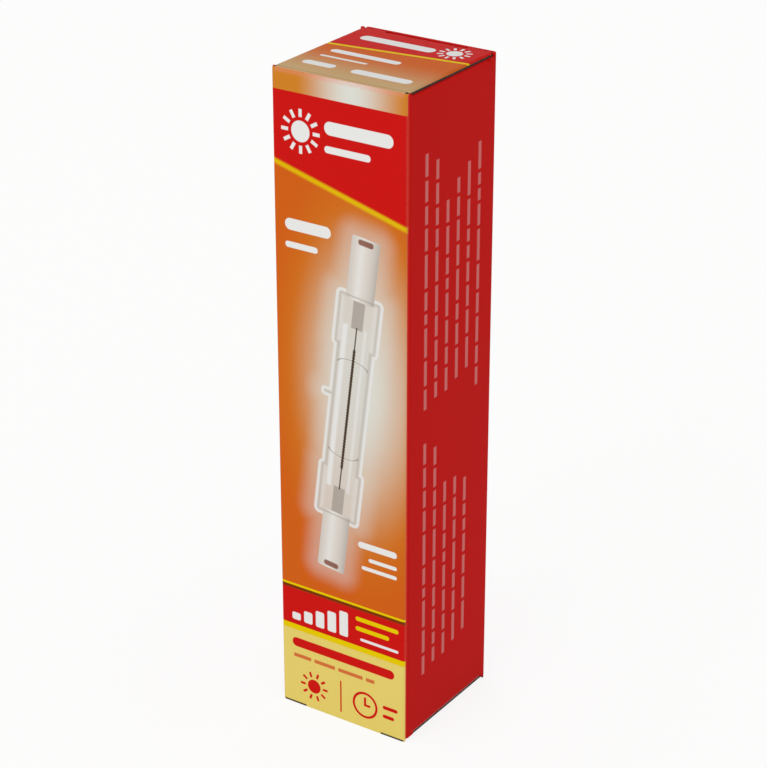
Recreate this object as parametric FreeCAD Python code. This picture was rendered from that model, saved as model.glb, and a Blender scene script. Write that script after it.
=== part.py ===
"""Tuck-end folding carton with one double-ended halogen lamp inside it, in a corrugated sleeve.

Millimetres, +Z up. The origin is the middle of the carton's base, and the printed front faces -Y.
The carton is sized from the inside out: lamp, sleeve, tuck tongues, card.
"""

import FreeCAD
import Part

import math
import os

from FreeCAD import Vector

# Lamp: a quartz tube pinched flat at both ends, each end in a ceramic cap
LAMP_LENGTH = 78.3
LAMP_TURN = 45.0  # puts the pinch horns and the tip in the sleeve's corners
BULB_RADIUS = 5.5
BULB_WALL = 1.0
SHOULDER_LENGTH = 5.0
CAVITY_TAPER = 3.0
CAVITY_END_THICKNESS = 2.0
PINCH_LENGTH = 12.0
PINCH_THICKNESS = 2.2
HORN_RADIUS = 1.3
HORN_ROOT_RADIUS = 0.3
HORN_ROOT_LENGTH = 1.4
HORN_REACH = 2.2  # how far the pinch's round rims run down beside the cap
TIP_RADIUS = 1.1
TIP_END_RADIUS = 0.5
TIP_LENGTH = 2.4
TIP_TAPER = 0.6
CAP_RADIUS = 3.65
CAP_LENGTH = 14.0
CAP_CHAMFER = 0.4
CAP_SLOT_DEPTH = 4.0
TONGUE_INSET = 0.4
CEMENT_GAP = 0.15
CONTACT_RADIUS = 1.9
CONTACT_LENGTH = 2.2
CONTACT_RECESS = 1.6  # from the cap's end to the contact
CONTACT_CHAMFER = 0.3
OUTER_LEAD_RADIUS = 0.4
INNER_LEAD_RADIUS = 0.3
LEAD_OVERLAP = 1.2
FOIL_WIDTH = 2.2
FOIL_LENGTH = 6.0
FOIL_THICKNESS = 0.12
FILAMENT_RADIUS = 0.55
FILAMENT_END_GAP = 2.5
SUPPORT_STRIP = 0.2
SUPPORT_WIDTH = 0.3
SUPPORT_CLEARANCE = 0.12
SUPPORT_COUNT = 2

# Corrugated sleeve: a square liner with flutes inside it
LINER = 0.25
FLUTE_RADIUS = 1.5
FLUTE_GAP = 0.15
FLUTES_PER_SIDE = 3
SLEEVE_CORNER_RADIUS = 1.0
SLEEVE_MARGIN = 1.0
LAMP_ROOM = 0.45  # between the tube and the flutes

# Carton card, creases and flaps
CARD = 0.45
FOLD_INNER_RADIUS = 0.25
CREASE_SWELL = 0.05  # how much a crease's radius passes the card's thickness
HINGE_CLEARANCE = 0.05
LAYER_GAP = 0.1
REST_GAP = 0.1
HEADSPACE = 18.1
LID_INSET = 0.35
LID_CORNER_RADIUS = 0.6
TUCK_CLEARANCE = 0.3
TUCK_INSET = 1.6  # how far the tongue's free edge leans in from its fold
TUCK_SWING_CLEARANCE = 0.15
TUCK_SIDE_INSET = 1.2
TUCK_CORNER_RADIUS = 4.5
TUCK_SHOULDER_DROP = 0.5
SLIT_LENGTH = 4.0  # the cut at each end of the tongue's fold
SLEEVE_CLEARANCE = 0.5
FLAP_SEAT = 0.65  # how far a dust flap reaches under the lamp's cap
FLAP_SIDE_CLEARANCE = 0.3
FLAP_TAPER = 1.6
FLAP_STEP = 3.0
FLAP_CORNER_RADIUS = 1.5
GLUE_FLAP_WIDTH = 9.0
GLUE_FLAP_SETBACK = 1.6
GLUE_FLAP_TAPER = 2.5
SEAM_SETBACK = 0.3
JOIN = 2.0  # how far strips run into each other and cutters run past

# Sizes that follow from the ones above
FOLD_RADIUS = CARD + FOLD_INNER_RADIUS
CREASE_RADIUS = CARD + CREASE_SWELL
SLEEVE_HALF = BULB_RADIUS + LAMP_ROOM + FLUTE_RADIUS + LINER
INNER_HALF = SLEEVE_HALF + SLEEVE_CLEARANCE + CARD + TUCK_INSET + TUCK_CLEARANCE
HALF = INNER_HALF + CARD
END_LAYERS = 2 * CARD + LAYER_GAP
LAMP_BASE = END_LAYERS + REST_GAP
HEIGHT = LAMP_BASE + LAMP_LENGTH + HEADSPACE + END_LAYERS
FLAP_TOP = HEIGHT - CARD - LAYER_GAP
FLAP_REACH = CAP_RADIUS - FLAP_SEAT
CREASE_Y = CREASE_RADIUS - HALF
CREASE_Z = HEIGHT - CREASE_RADIUS
LID_FOLD_Y = INNER_HALF - TUCK_CLEARANCE
LID_HALF_WIDTH = HALF - LID_INSET
LAMP_MIDDLE = LAMP_BASE + LAMP_LENGTH / 2
CONTACT_SEAT = LAMP_BASE + CONTACT_RECESS + CONTACT_LENGTH
CAP_MOUTH = LAMP_BASE + CAP_LENGTH
PINCH_BASE = CAP_MOUTH - CAP_SLOT_DEPTH
SHOULDER_BASE = PINCH_BASE + PINCH_LENGTH
BULB_BASE = SHOULDER_BASE + SHOULDER_LENGTH
FOIL_BASE = PINCH_BASE + (PINCH_LENGTH - FOIL_LENGTH) / 2
FOIL_TOP = FOIL_BASE + FOIL_LENGTH
FILAMENT_BASE = BULB_BASE - CAVITY_TAPER + FILAMENT_END_GAP

ROUND = 360.0
SAME_POINT = 1e-6
X_AXIS = Vector(1, 0, 0)
Y_AXIS = Vector(0, 1, 0)
Z_AXIS = Vector(0, 0, 1)


def box(low, high):
    """A block between two opposite corners, each given as (x, y, z)."""
    size = [b - a for a, b in zip(low, high)]
    return Part.makeBox(*size, Vector(*low))


def rod(radius, base, length, direction=Z_AXIS):
    """A round bar from the point base, given as (x, y, z)."""
    return Part.makeCylinder(radius, length, Vector(*base), direction)


def mirrored(shape, axis, height=0.0):
    """A copy of a shape mirrored across that axis, through a point of the carton's centre line."""
    return shape.mirror(Vector(0, 0, height), axis)


def turned_over(shape):
    """A copy of a shape from the carton's top, turned half round to the same place at its base."""
    copy = shape.copy()
    copy.rotate(Vector(0, 0, HEIGHT / 2), X_AXIS, ROUND / 2)
    return copy


def one_solid(shape):
    """The single solid of a joined shape, with its flush faces merged."""
    solids = shape.removeSplitter().Solids
    if len(solids) != 1:
        raise ValueError(f"one joined solid was expected, not {len(solids)}")
    return solids[0]


def lowest_rim(shape):
    """The lowest round edge of a shape."""
    circles = [edge for edge in shape.Edges if isinstance(edge.Curve, Part.Circle)]
    return min(circles, key=lambda edge: edge.CenterOfMass.z)


def rounded_outline(points, radii, place):
    """A flat face round a polygon, each corner rounded by its own radius (0 leaves it sharp).

    The points are (u, v) pairs, and place(u, v) puts one in space.
    """
    count = len(points)
    ends = []
    for i, (corner, radius) in enumerate(zip(points, radii)):
        here = Vector(*corner, 0)
        back = (Vector(*points[i - 1], 0) - here).normalize()
        ahead = (Vector(*points[(i + 1) % count], 0) - here).normalize()
        half_angle = back.getAngle(ahead) / 2
        trim = radius / math.tan(half_angle)
        middle = here + (back + ahead).normalize() * radius * (1 / math.sin(half_angle) - 1)
        ends.append((here + back * trim, middle, here + ahead * trim, radius))
    edges = []
    for i, (start, middle, end, radius) in enumerate(ends):
        if radius:
            edges.append(Part.Arc(*[place(p.x, p.y) for p in (start, middle, end)]).toShape())
        following = ends[(i + 1) % count][0]
        if (following - end).Length > SAME_POINT:
            edges.append(Part.LineSegment(place(end.x, end.y), place(following.x, following.y)).toShape())
    return Part.Face(Part.Wire(edges))


def folded_strip(path, place):
    """A flat face: the cut edge of a card strip that is folded at the inner points of a path.

    The path is the card's outer side as (u, v) pairs, and the card lies to the left of it. Every fold
    turns left, with the outer radius FOLD_RADIUS. place(u, v) puts a point in space.
    """
    outer, inner = [], []
    legs = [(Vector(*b, 0) - Vector(*a, 0)).normalize() for a, b in zip(path, path[1:])]
    lefts = [Vector(-leg.y, leg.x, 0) for leg in legs]
    start, finish = Vector(*path[0], 0), Vector(*path[-1], 0)
    outer_from, inner_from = start, start + lefts[0] * CARD
    for i, corner in enumerate(path[1:-1]):
        turn = legs[i].getAngle(legs[i + 1])
        into = Vector(*corner, 0) - legs[i] * FOLD_RADIUS * math.tan(turn / 2)
        centre = into + lefts[i] * FOLD_RADIUS
        towards = [-lefts[i], -(lefts[i] + lefts[i + 1]).normalize(), -lefts[i + 1]]
        for side, begun, radius in ((outer, outer_from, FOLD_RADIUS), (inner, inner_from, FOLD_INNER_RADIUS)):
            arc = [centre + direction * radius for direction in towards]
            side.append(Part.LineSegment(place(begun.x, begun.y), place(arc[0].x, arc[0].y)))
            side.append(Part.Arc(*[place(p.x, p.y) for p in arc]))
        outer_from = centre + towards[-1] * FOLD_RADIUS
        inner_from = centre + towards[-1] * FOLD_INNER_RADIUS
    inner_finish = finish + lefts[-1] * CARD
    outer.append(Part.LineSegment(place(outer_from.x, outer_from.y), place(finish.x, finish.y)))
    inner.append(Part.LineSegment(place(inner_from.x, inner_from.y), place(inner_finish.x, inner_finish.y)))
    ends = [
        Part.LineSegment(place(finish.x, finish.y), place(inner_finish.x, inner_finish.y)),
        Part.LineSegment(inner[0].StartPoint, outer[0].StartPoint),
    ]
    edges = [curve.toShape() for curve in outer + [ends[0]] + inner[::-1] + [ends[1]]]
    return Part.Face(Part.Wire(Part.__sortEdges__(edges)))


def in_plan(u, v):
    """A point of the carton's plan."""
    return Vector(u, v, 0)


def carton_tube():
    """The four panels at full height, with the glue flap bonded inside the left panel."""
    seam_x = -INNER_HALF
    seam = [(-HALF, HALF - SEAM_SETBACK), (seam_x + FOLD_RADIUS, HALF)]
    panels = folded_strip([seam[0], (-HALF, -HALF), (HALF, -HALF), (HALF, HALF), seam[1]], in_plan)
    flap_end = HALF - GLUE_FLAP_WIDTH
    glue_flap = folded_strip([(seam_x + JOIN, HALF), (seam_x, HALF), (seam_x, flap_end)], in_plan)
    fold_y = HALF - FOLD_RADIUS
    low, high = GLUE_FLAP_SETBACK, HEIGHT - GLUE_FLAP_SETBACK
    corners = [(flap_end, low + GLUE_FLAP_TAPER), (fold_y, low), (HALF, low),
               (HALF, high), (fold_y, high), (flap_end, high - GLUE_FLAP_TAPER)]
    kept = rounded_outline(corners, [0] * len(corners), lambda u, v: Vector(-HALF, u, v))
    upright = Z_AXIS * HEIGHT
    return panels.extrude(upright).fuse(glue_flap.extrude(upright).common(kept.extrude(X_AXIS * HALF)))


def top_trim():
    """What is cut off the tube at its top: the side panels' folds, the crease and two corner notches."""
    fold_at = HALF - FOLD_RADIUS
    above = HEIGHT + JOIN
    trims = [box((-fold_at, -HALF - JOIN, CREASE_Z - JOIN), (fold_at, -INNER_HALF + JOIN, above))]
    for side in (-1, 1):
        inner_x, outer_x = sorted((side * (INNER_HALF - CARD / 2), side * (HALF + JOIN)))
        trims.append(box((inner_x, -fold_at, FLAP_TOP - FOLD_RADIUS), (outer_x, fold_at, above)))
        notch_x, notch_end = sorted((side * fold_at, side * (HALF + JOIN)))
        trims.append(box((notch_x, -HALF - JOIN, FLAP_TOP), (notch_end, -fold_at, above)))
    return trims


def crease_strip():
    """The top of the front panel, rolled into the round crease that the lid turns on."""
    card_in = CREASE_RADIUS - CARD
    drop = math.sqrt(CREASE_RADIUS**2 - card_in**2)

    def place(y, z):
        return Vector(-(HALF - FOLD_RADIUS), CREASE_Y + y, CREASE_Z + z)

    foot = [place(-card_in, -JOIN), place(-CREASE_RADIUS, -JOIN)]
    roll = [place(-CREASE_RADIUS, 0), place(CREASE_RADIUS, 0), place(-card_in, -drop)]
    edges = [
        Part.LineSegment(*foot),
        Part.LineSegment(foot[1], roll[0]),
        Part.Arc(*roll),
        Part.LineSegment(roll[2], foot[0]),
    ]
    face = Part.Face(Part.Wire([edge.toShape() for edge in edges]))
    return face.extrude(X_AXIS * 2 * (HALF - FOLD_RADIUS))


def tuck_lean():
    """How far the tongue leans in and how long it is, as (sine, cosine, length) of its outer side.

    Its tip swings about the crease on a circle that just clears the back panel.
    """
    swing = INNER_HALF - TUCK_SWING_CLEARANCE - CREASE_Y
    tip_y = LID_FOLD_Y - TUCK_INSET - CREASE_Y
    drop = CREASE_RADIUS + math.sqrt(swing**2 - tip_y**2)
    length = math.hypot(TUCK_INSET, drop)
    return TUCK_INSET / length, drop / length, length


def dust_flap():
    """The right dust flap at the top, with the stretch of side panel that it folds from.

    Its rear edge stays in front of the tongue, whose inner side swings nearer than it hangs.
    """
    sine, cosine, _ = tuck_lean()
    tongue_swing = (LID_FOLD_Y - CREASE_Y) * cosine - CREASE_RADIUS * sine - CARD
    front = CREASE_Y + CREASE_RADIUS + FLAP_SIDE_CLEARANCE
    rear = CREASE_Y + tongue_swing - FLAP_SIDE_CLEARANCE
    strip = folded_strip(
        [(HALF, FLAP_TOP - FOLD_RADIUS - JOIN), (HALF, FLAP_TOP), (FLAP_REACH, FLAP_TOP)],
        lambda u, v: Vector(u, front, v),
    ).extrude(Y_AXIS * (rear - front))
    outline = rounded_outline(
        [(HALF, front), (HALF, rear), (HALF - FLAP_STEP, rear),
         (FLAP_REACH, rear - FLAP_STEP), (FLAP_REACH, front + FLAP_TAPER), (HALF - FLAP_STEP, front)],
        [0, 0, 0, FLAP_CORNER_RADIUS, FLAP_CORNER_RADIUS, 0],
        in_plan,
    ).extrude(Z_AXIS * HEIGHT)
    return strip.common(outline)


def carton_body():
    """The folded and glued blank: tube, creases and dust flaps as one piece of card."""
    body = carton_tube()
    trims = top_trim()
    body = body.cut(trims + [turned_over(trim) for trim in trims])
    right = dust_flap()
    added = [crease_strip(), right, mirrored(right, X_AXIS)]
    return one_solid(body.fuse(added + [turned_over(piece) for piece in added]))


def top_lid():
    """The top panel, creased to the front panel, and the tuck tongue folded from its rear edge."""
    sine, cosine, length = tuck_lean()
    fold_half = LID_HALF_WIDTH - SLIT_LENGTH
    tongue_half = LID_HALF_WIDTH - TUCK_SIDE_INSET
    panel = rounded_outline(
        [(-LID_HALF_WIDTH, CREASE_Y), (LID_HALF_WIDTH, CREASE_Y),
         (LID_HALF_WIDTH, LID_FOLD_Y), (-LID_HALF_WIDTH, LID_FOLD_Y)],
        [0, 0, LID_CORNER_RADIUS, LID_CORNER_RADIUS],
        lambda u, v: Vector(u, v, HEIGHT - CARD),
    ).extrude(Z_AXIS * CARD)
    bend_start = LID_FOLD_Y - FOLD_RADIUS * math.tan((math.pi / 2 + math.asin(sine)) / 2)
    panel = panel.cut(box((-fold_half, bend_start, 0), (fold_half, HALF, HEIGHT + JOIN)))
    tip = (LID_FOLD_Y - length * sine, HEIGHT - length * cosine)
    bend = folded_strip(
        [(-bend_start + JOIN, HEIGHT), (-LID_FOLD_Y, HEIGHT), (-tip[0], tip[1])],
        lambda u, v: Vector(-fold_half, -u, v),
    ).extrude(X_AXIS * 2 * fold_half)
    shoulder = FOLD_RADIUS + TUCK_SHOULDER_DROP

    def on_tongue(u, v):
        return Vector(u, LID_FOLD_Y - v * sine, HEIGHT - v * cosine)

    tongue = rounded_outline(
        [(-tongue_half, shoulder), (tongue_half, shoulder), (tongue_half, length), (-tongue_half, length)],
        [0, 0, TUCK_CORNER_RADIUS, TUCK_CORNER_RADIUS],
        on_tongue,
    ).extrude(Vector(0, -cosine, sine) * CARD)
    corner_waste = box((-HALF, -HALF, 0), (HALF, HALF, HEIGHT - shoulder * cosine - CARD))
    bend = bend.cut(corner_waste)
    crease_room = rod(CREASE_RADIUS + HINGE_CLEARANCE, (-HALF, CREASE_Y, CREASE_Z), 2 * HALF, X_AXIS)
    return one_solid(panel.cut(crease_room).fuse([bend, tongue]))


def corrugated_sleeve():
    """A square paper liner with half-round flutes glued inside it, standing on the bottom flaps."""
    height = LAMP_LENGTH + SLEEVE_MARGIN
    upright = Z_AXIS * height
    inner = SLEEVE_HALF - LINER

    def square(half, radius):
        corners = [(-half, -half), (half, -half), (half, half), (-half, half)]
        return rounded_outline(corners, [radius] * 4, lambda u, v: Vector(u, v, LAMP_BASE)).extrude(upright)

    liner = square(SLEEVE_HALF, SLEEVE_CORNER_RADIUS).cut(square(inner, SLEEVE_CORNER_RADIUS - LINER))
    pitch = 2 * FLUTE_RADIUS + FLUTE_GAP
    flutes = []
    for i in range(FLUTES_PER_SIDE):
        x = (i - (FLUTES_PER_SIDE - 1) / 2) * pitch
        foot = (x, -inner, LAMP_BASE)
        half_pipe = rod(FLUTE_RADIUS, foot, height).cut(rod(FLUTE_RADIUS - LINER, foot, height))
        half_pipe = half_pipe.cut(box((-SLEEVE_HALF, -2 * SLEEVE_HALF, 0), (SLEEVE_HALF, -inner, HEIGHT)))
        for quarter in range(4):
            turned = half_pipe.copy()
            turned.rotate(Vector(), Z_AXIS, quarter * ROUND / 4)
            flutes.append(turned)
    return one_solid(liner.fuse(flutes))


def ceramic_cap():
    """The lower end cap: a turned ceramic bush with a contact recess and a slot for the pinch."""
    cap = rod(CAP_RADIUS, (0, 0, LAMP_BASE), CAP_LENGTH)
    cap = cap.makeChamfer(CAP_CHAMFER, [lowest_rim(cap)])
    recess = rod(CONTACT_RADIUS + CEMENT_GAP, (0, 0, LAMP_BASE), CONTACT_SEAT - LAMP_BASE)
    lead_bore = rod(OUTER_LEAD_RADIUS + CEMENT_GAP, (0, 0, LAMP_BASE), CAP_LENGTH)
    slot_half = PINCH_THICKNESS / 2 + CEMENT_GAP
    slot = box((-HALF, -slot_half, PINCH_BASE), (HALF, slot_half, CAP_MOUTH))
    return one_solid(cap.cut([recess, lead_bore, slot]))


def end_contact():
    """The lower contact: a round stud at the floor of the cap's recess."""
    stud = rod(CONTACT_RADIUS, (0, 0, LAMP_BASE + CONTACT_RECESS), CONTACT_LENGTH)
    return stud.makeChamfer(CONTACT_CHAMFER, [lowest_rim(stud)])


def seal_foil():
    """The lower strip of foil that carries the current through the pinch."""
    half = FOIL_THICKNESS / 2
    return box((-FOIL_WIDTH / 2, -half, FOIL_BASE), (FOIL_WIDTH / 2, half, FOIL_TOP))


def lead_on_foil(radius, low, high):
    """A lead between two heights, halved where it lies on the foil."""
    beside = box((-radius, -radius, FOIL_BASE), (radius, FOIL_THICKNESS / 2, FOIL_TOP))
    return one_solid(rod(radius, (0, 0, low), high - low).cut(beside))


def pressed_bar(radius, thickness, low, high):
    """The lower half of a round bar on the lamp's axis, pressed to a wedge between the heights low and high.

    The thickness is that of its flat end, at low.
    """
    flat, over = thickness / 2, radius + JOIN
    slope = (high - low) / (radius - flat)
    side = [(flat, low), (over, low + (over - flat) * slope), (over, LAMP_MIDDLE)]
    corners = side + [(-y, z) for y, z in reversed(side)]
    wedge = rounded_outline(corners, [0] * len(corners), lambda u, v: Vector(-over, u, v))
    return rod(radius, (0, 0, low), LAMP_MIDDLE - low).common(wedge.extrude(X_AXIS * 2 * over))


def quartz_envelope(embedded):
    """The quartz tube, with its ends pinched flat round the seal pieces and a sealed-off exhaust tip."""
    flat = PINCH_THICKNESS / 2
    horn_x = CAP_RADIUS + CEMENT_GAP + HORN_RADIUS
    tongue_x = CAP_RADIUS - TONGUE_INSET
    blade_base = CAP_MOUTH + CEMENT_GAP
    horn_base = CAP_MOUTH - HORN_REACH
    pinch = [
        box((-horn_x, -flat, blade_base), (horn_x, flat, SHOULDER_BASE)),
        box((-tongue_x, -flat, PINCH_BASE), (tongue_x, flat, SHOULDER_BASE)),
    ]
    for x in (-horn_x, horn_x):
        root = Vector(x, 0, SHOULDER_BASE)
        pinch += [
            rod(HORN_RADIUS, (x, 0, horn_base), SHOULDER_BASE - horn_base),
            Part.makeCone(HORN_RADIUS, HORN_ROOT_RADIUS, HORN_ROOT_LENGTH, root, Z_AXIS),
        ]
    half = pressed_bar(BULB_RADIUS, PINCH_THICKNESS, SHOULDER_BASE, BULB_BASE).fuse(pinch)
    hollow = pressed_bar(BULB_RADIUS - BULB_WALL, CAVITY_END_THICKNESS, BULB_BASE - CAVITY_TAPER, BULB_BASE)

    tip_root = BULB_RADIUS - BULB_WALL / 2
    tip_shank = BULB_RADIUS + TIP_LENGTH - TIP_TAPER
    tip = [
        rod(TIP_RADIUS, (tip_root, 0, LAMP_MIDDLE), tip_shank - tip_root, X_AXIS),
        Part.makeCone(TIP_RADIUS, TIP_END_RADIUS, TIP_TAPER, Vector(tip_shank, 0, LAMP_MIDDLE), X_AXIS),
    ]
    outside = half.fuse([mirrored(half, Z_AXIS, LAMP_MIDDLE)] + tip)
    return one_solid(outside.cut([hollow, mirrored(hollow, Z_AXIS, LAMP_MIDDLE)] + embedded))


def filament():
    """The outside form of the wound filament, on the lamp's axis between the inner leads."""
    return rod(FILAMENT_RADIUS, (0, 0, FILAMENT_BASE), 2 * (LAMP_MIDDLE - FILAMENT_BASE))


def filament_supports():
    """Strip supports along the filament: a collar round it, a leg, and a half hoop on the tube's wall."""
    collar = FILAMENT_RADIUS + SUPPORT_CLEARANCE
    hoop = BULB_RADIUS - BULB_WALL - SUPPORT_CLEARANCE
    spacing = 2 * (LAMP_MIDDLE - FILAMENT_BASE) / (SUPPORT_COUNT + 1)

    def ring(bore, radius, low):
        foot = (0, 0, low)
        return rod(radius, foot, SUPPORT_WIDTH).cut(rod(bore, foot, SUPPORT_WIDTH))

    supports = []
    for i in range(SUPPORT_COUNT):
        low = FILAMENT_BASE + (i + 1) * spacing - SUPPORT_WIDTH / 2
        high = low + SUPPORT_WIDTH
        half_room = box((-hoop, 0, low), (hoop, hoop, high))
        half_hoop = ring(hoop - SUPPORT_STRIP, hoop, low).common(half_room)
        leg_half = SUPPORT_STRIP / 2
        leg_ends = (collar + leg_half, hoop - leg_half)
        leg = box((-leg_half, leg_ends[0], low), (leg_half, leg_ends[1], high))
        supports.append(one_solid(ring(collar, collar + SUPPORT_STRIP, low).fuse([half_hoop, leg])))
    return Part.makeCompound(supports)


def lamp_pieces():
    """Every piece of the lamp, by name, turned so that its horns and tip lie in the sleeve's corners."""
    lower = {
        "cap": ceramic_cap(),
        "contact": end_contact(),
        "outer_lead": lead_on_foil(OUTER_LEAD_RADIUS, CONTACT_SEAT, FOIL_BASE + LEAD_OVERLAP),
        "foil": seal_foil(),
        "inner_lead": lead_on_foil(INNER_LEAD_RADIUS, FOIL_TOP - LEAD_OVERLAP, FILAMENT_BASE),
    }
    pieces = {f"lower_{name}": shape for name, shape in lower.items()}
    for name, shape in lower.items():
        pieces[f"upper_{name}"] = mirrored(shape, Z_AXIS, LAMP_MIDDLE)
    sealed = ("outer_lead", "foil", "inner_lead")
    sealed_in = [pieces[f"{end}_{name}"] for end in ("lower", "upper") for name in sealed]
    pieces["quartz_envelope"] = quartz_envelope(sealed_in)
    pieces["filament"] = filament()
    pieces["filament_supports"] = filament_supports()
    for shape in pieces.values():
        shape.rotate(Vector(), Z_AXIS, LAMP_TURN)
    return pieces


def main():
    """Builds every piece and writes one file for each."""
    lid = top_lid()
    pieces = {
        "carton_body": carton_body(),
        "top_lid": lid,
        "bottom_lid": turned_over(lid),
        "corrugated_sleeve": corrugated_sleeve(),
        **lamp_pieces(),
    }
    os.makedirs("parts", exist_ok=True)
    for name, shape in pieces.items():
        shape.exportStep(f"parts/{name}.step")
        print(f"{name}: {len(shape.Solids)} solid, valid {shape.isValid()}, {shape.Volume:.2f} mm3")
    print(f"carton {2 * HALF:.2f} x {2 * HALF:.2f} x {HEIGHT:.2f} mm")


if __name__ == "__main__":
    main()
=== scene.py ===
"""A tuck-end lamp carton: printed card, a fluted sleeve and a double-ended lamp, on a pale studio floor.

Card is laid out on its blank, the flat sheet before folding, in millimetres: u runs round the carton from
the middle of the front panel, and v runs up from the base and on over the creases. Meshes are in metres.
"""

import logging
import math
from collections.abc import Callable, Sequence
from dataclasses import dataclass, field
from enum import Enum
from typing import TypeAlias

import bpy
from mathutils import Color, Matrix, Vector


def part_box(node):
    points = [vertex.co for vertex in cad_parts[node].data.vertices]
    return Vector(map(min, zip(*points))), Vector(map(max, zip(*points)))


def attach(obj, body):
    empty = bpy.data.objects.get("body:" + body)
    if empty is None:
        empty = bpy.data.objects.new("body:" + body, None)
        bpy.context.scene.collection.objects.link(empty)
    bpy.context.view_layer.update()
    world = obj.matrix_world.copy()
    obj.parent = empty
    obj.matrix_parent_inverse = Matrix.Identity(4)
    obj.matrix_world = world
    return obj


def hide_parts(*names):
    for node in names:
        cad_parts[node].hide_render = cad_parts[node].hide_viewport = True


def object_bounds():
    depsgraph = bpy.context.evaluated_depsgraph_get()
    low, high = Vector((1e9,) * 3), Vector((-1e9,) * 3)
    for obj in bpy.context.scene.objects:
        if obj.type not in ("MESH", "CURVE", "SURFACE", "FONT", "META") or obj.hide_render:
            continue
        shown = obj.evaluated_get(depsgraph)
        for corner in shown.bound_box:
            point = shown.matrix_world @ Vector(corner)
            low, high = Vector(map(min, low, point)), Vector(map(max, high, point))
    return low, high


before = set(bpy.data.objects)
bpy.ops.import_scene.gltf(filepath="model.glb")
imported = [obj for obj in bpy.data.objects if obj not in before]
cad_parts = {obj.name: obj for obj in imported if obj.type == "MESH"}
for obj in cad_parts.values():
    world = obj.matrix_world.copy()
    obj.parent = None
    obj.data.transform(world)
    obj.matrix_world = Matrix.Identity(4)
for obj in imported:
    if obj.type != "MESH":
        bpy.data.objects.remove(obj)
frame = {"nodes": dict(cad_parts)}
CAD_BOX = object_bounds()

MM = 0.001
QUARTER = math.pi / 2
FULL_BYTE = 255

# Points of one sheet that agree to this many decimals of a millimetre are one point.
MERGE_DIGITS = 3
TINY = 1e-6

# The two maps of a card piece. The one for baking gives the print most of its room, in shares of its side.
BLANK_MAP = "blank"
BAKE_MAP = "OFBake"
BAKE_EDGE = 0.01
BAKE_FULL = 0.98
BAKE_PRINT_SHARE = 0.82
BAKE_BOARD_AT = 0.845
BAKE_BOARD_WIDTH = 0.10
BAKE_CUT_AT = 0.957
BAKE_INKED_AT = 0.980
BAKE_RIM = 0.012

# The sockets of a mix node that is set to colours.
MIX_FACTOR = 0
MIX_BELOW = 6
MIX_ABOVE = 7
MIX_RESULT = 2

# The range that most of a noise lies in.
NOISE_LOW = 0.3
NOISE_HIGH = 0.7

Colour: TypeAlias = tuple[float, float, float, float]
Number: TypeAlias = "Plot | float"
Feed: TypeAlias = "Plot | bpy.types.NodeSocket | float | Colour"

log = logging.getLogger("carton")


class Panel(Enum):
    """A carton panel: its count round the blank, its outward direction and its rightward one."""

    LEFT = (-1, (-1, 0), (0, -1))
    FRONT = (0, (0, -1), (1, 0))
    RIGHT = (1, (1, 0), (0, 1))
    BACK = (2, (0, 1), (-1, 0))

    @classmethod
    def numbered(cls, count: int) -> "Panel":
        """The panel at that count, going on round the carton past either end of the blank."""
        return next(panel for panel in cls if (panel.count - count) % len(cls) == 0)

    @property
    def count(self) -> int:
        """The panel's count round the blank, from the front."""
        return self.value[0]

    @property
    def outward(self) -> Vector:
        """The direction that the panel faces."""
        return Vector((*self.value[1], 0))

    @property
    def rightward(self) -> Vector:
        """The direction of growing u on the panel."""
        return Vector((*self.value[2], 0))


class End(Enum):
    """An end of the carton, with the body of its lid and the panel that the lid is creased to."""

    TOP = ("top_lid", Panel.FRONT)
    BOTTOM = ("bottom_lid", Panel.BACK)

    @property
    def lid(self) -> str:
        """The name of the lid's node and body."""
        return self.value[0]

    @property
    def creased(self) -> Panel:
        """The panel that carries the lid."""
        return self.value[1]


class Skin(Enum):
    """The kinds of face of a card sheet, each with the count of its material."""

    PRINT = ("outside", 0)
    BOARD = ("inside", 1)
    CUT = ("cut edge", 2)
    MARGIN = ("inked margin", 0)
    INKED = ("inked edge", 0)
    FOLDED = ("folded edge", 1)
    SEAM = ("glued seam's edge", 1)

    @property
    def material(self) -> int:
        """The count of the face's material."""
        return self.value[1]


class Ink(Enum):
    """The print's colours."""

    RED = "CB1613"
    DEEP_ORANGE = "CF6018"
    ORANGE = "CF8128"
    GLOW = "DCDDD4"
    TAN = "C8A878"
    CREAM = "E5D06F"
    YELLOW = "E5C900"
    BROWN = "7A330C"
    WHITE = "E8E8E6"
    PINK = "DC8A88"
    FOLD_WEAR_AND_HIGHLIGHT = "E8907C"
    BARE = "CFC9BE"
    GLASS = "D6D2CB"
    CAP = "DFD8D0"
    # Pale salmon for the folds and the crease: worn ink, and partly a painted highlight where they catch
    # the light.
    SHADE = "9C9389"
    # Dark brown: the pictured filament, and also the painted shadow in the tuck slits at the foot.
    WIRE = "4A3A2C"

    @property
    def rgba(self) -> Colour:
        """The colour in linear light."""
        return linear(self.value)


def linear(code: str) -> Colour:
    """A colour in linear light.

    Args:
        code: six hexadecimal digits of the colour on screen.

    Returns:
        Red, green, blue and a full alpha.
    """
    on_screen = Color([byte / FULL_BYTE for byte in bytes.fromhex(code)])
    return (*on_screen.from_srgb_to_scene_linear(), 1.0)


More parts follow.
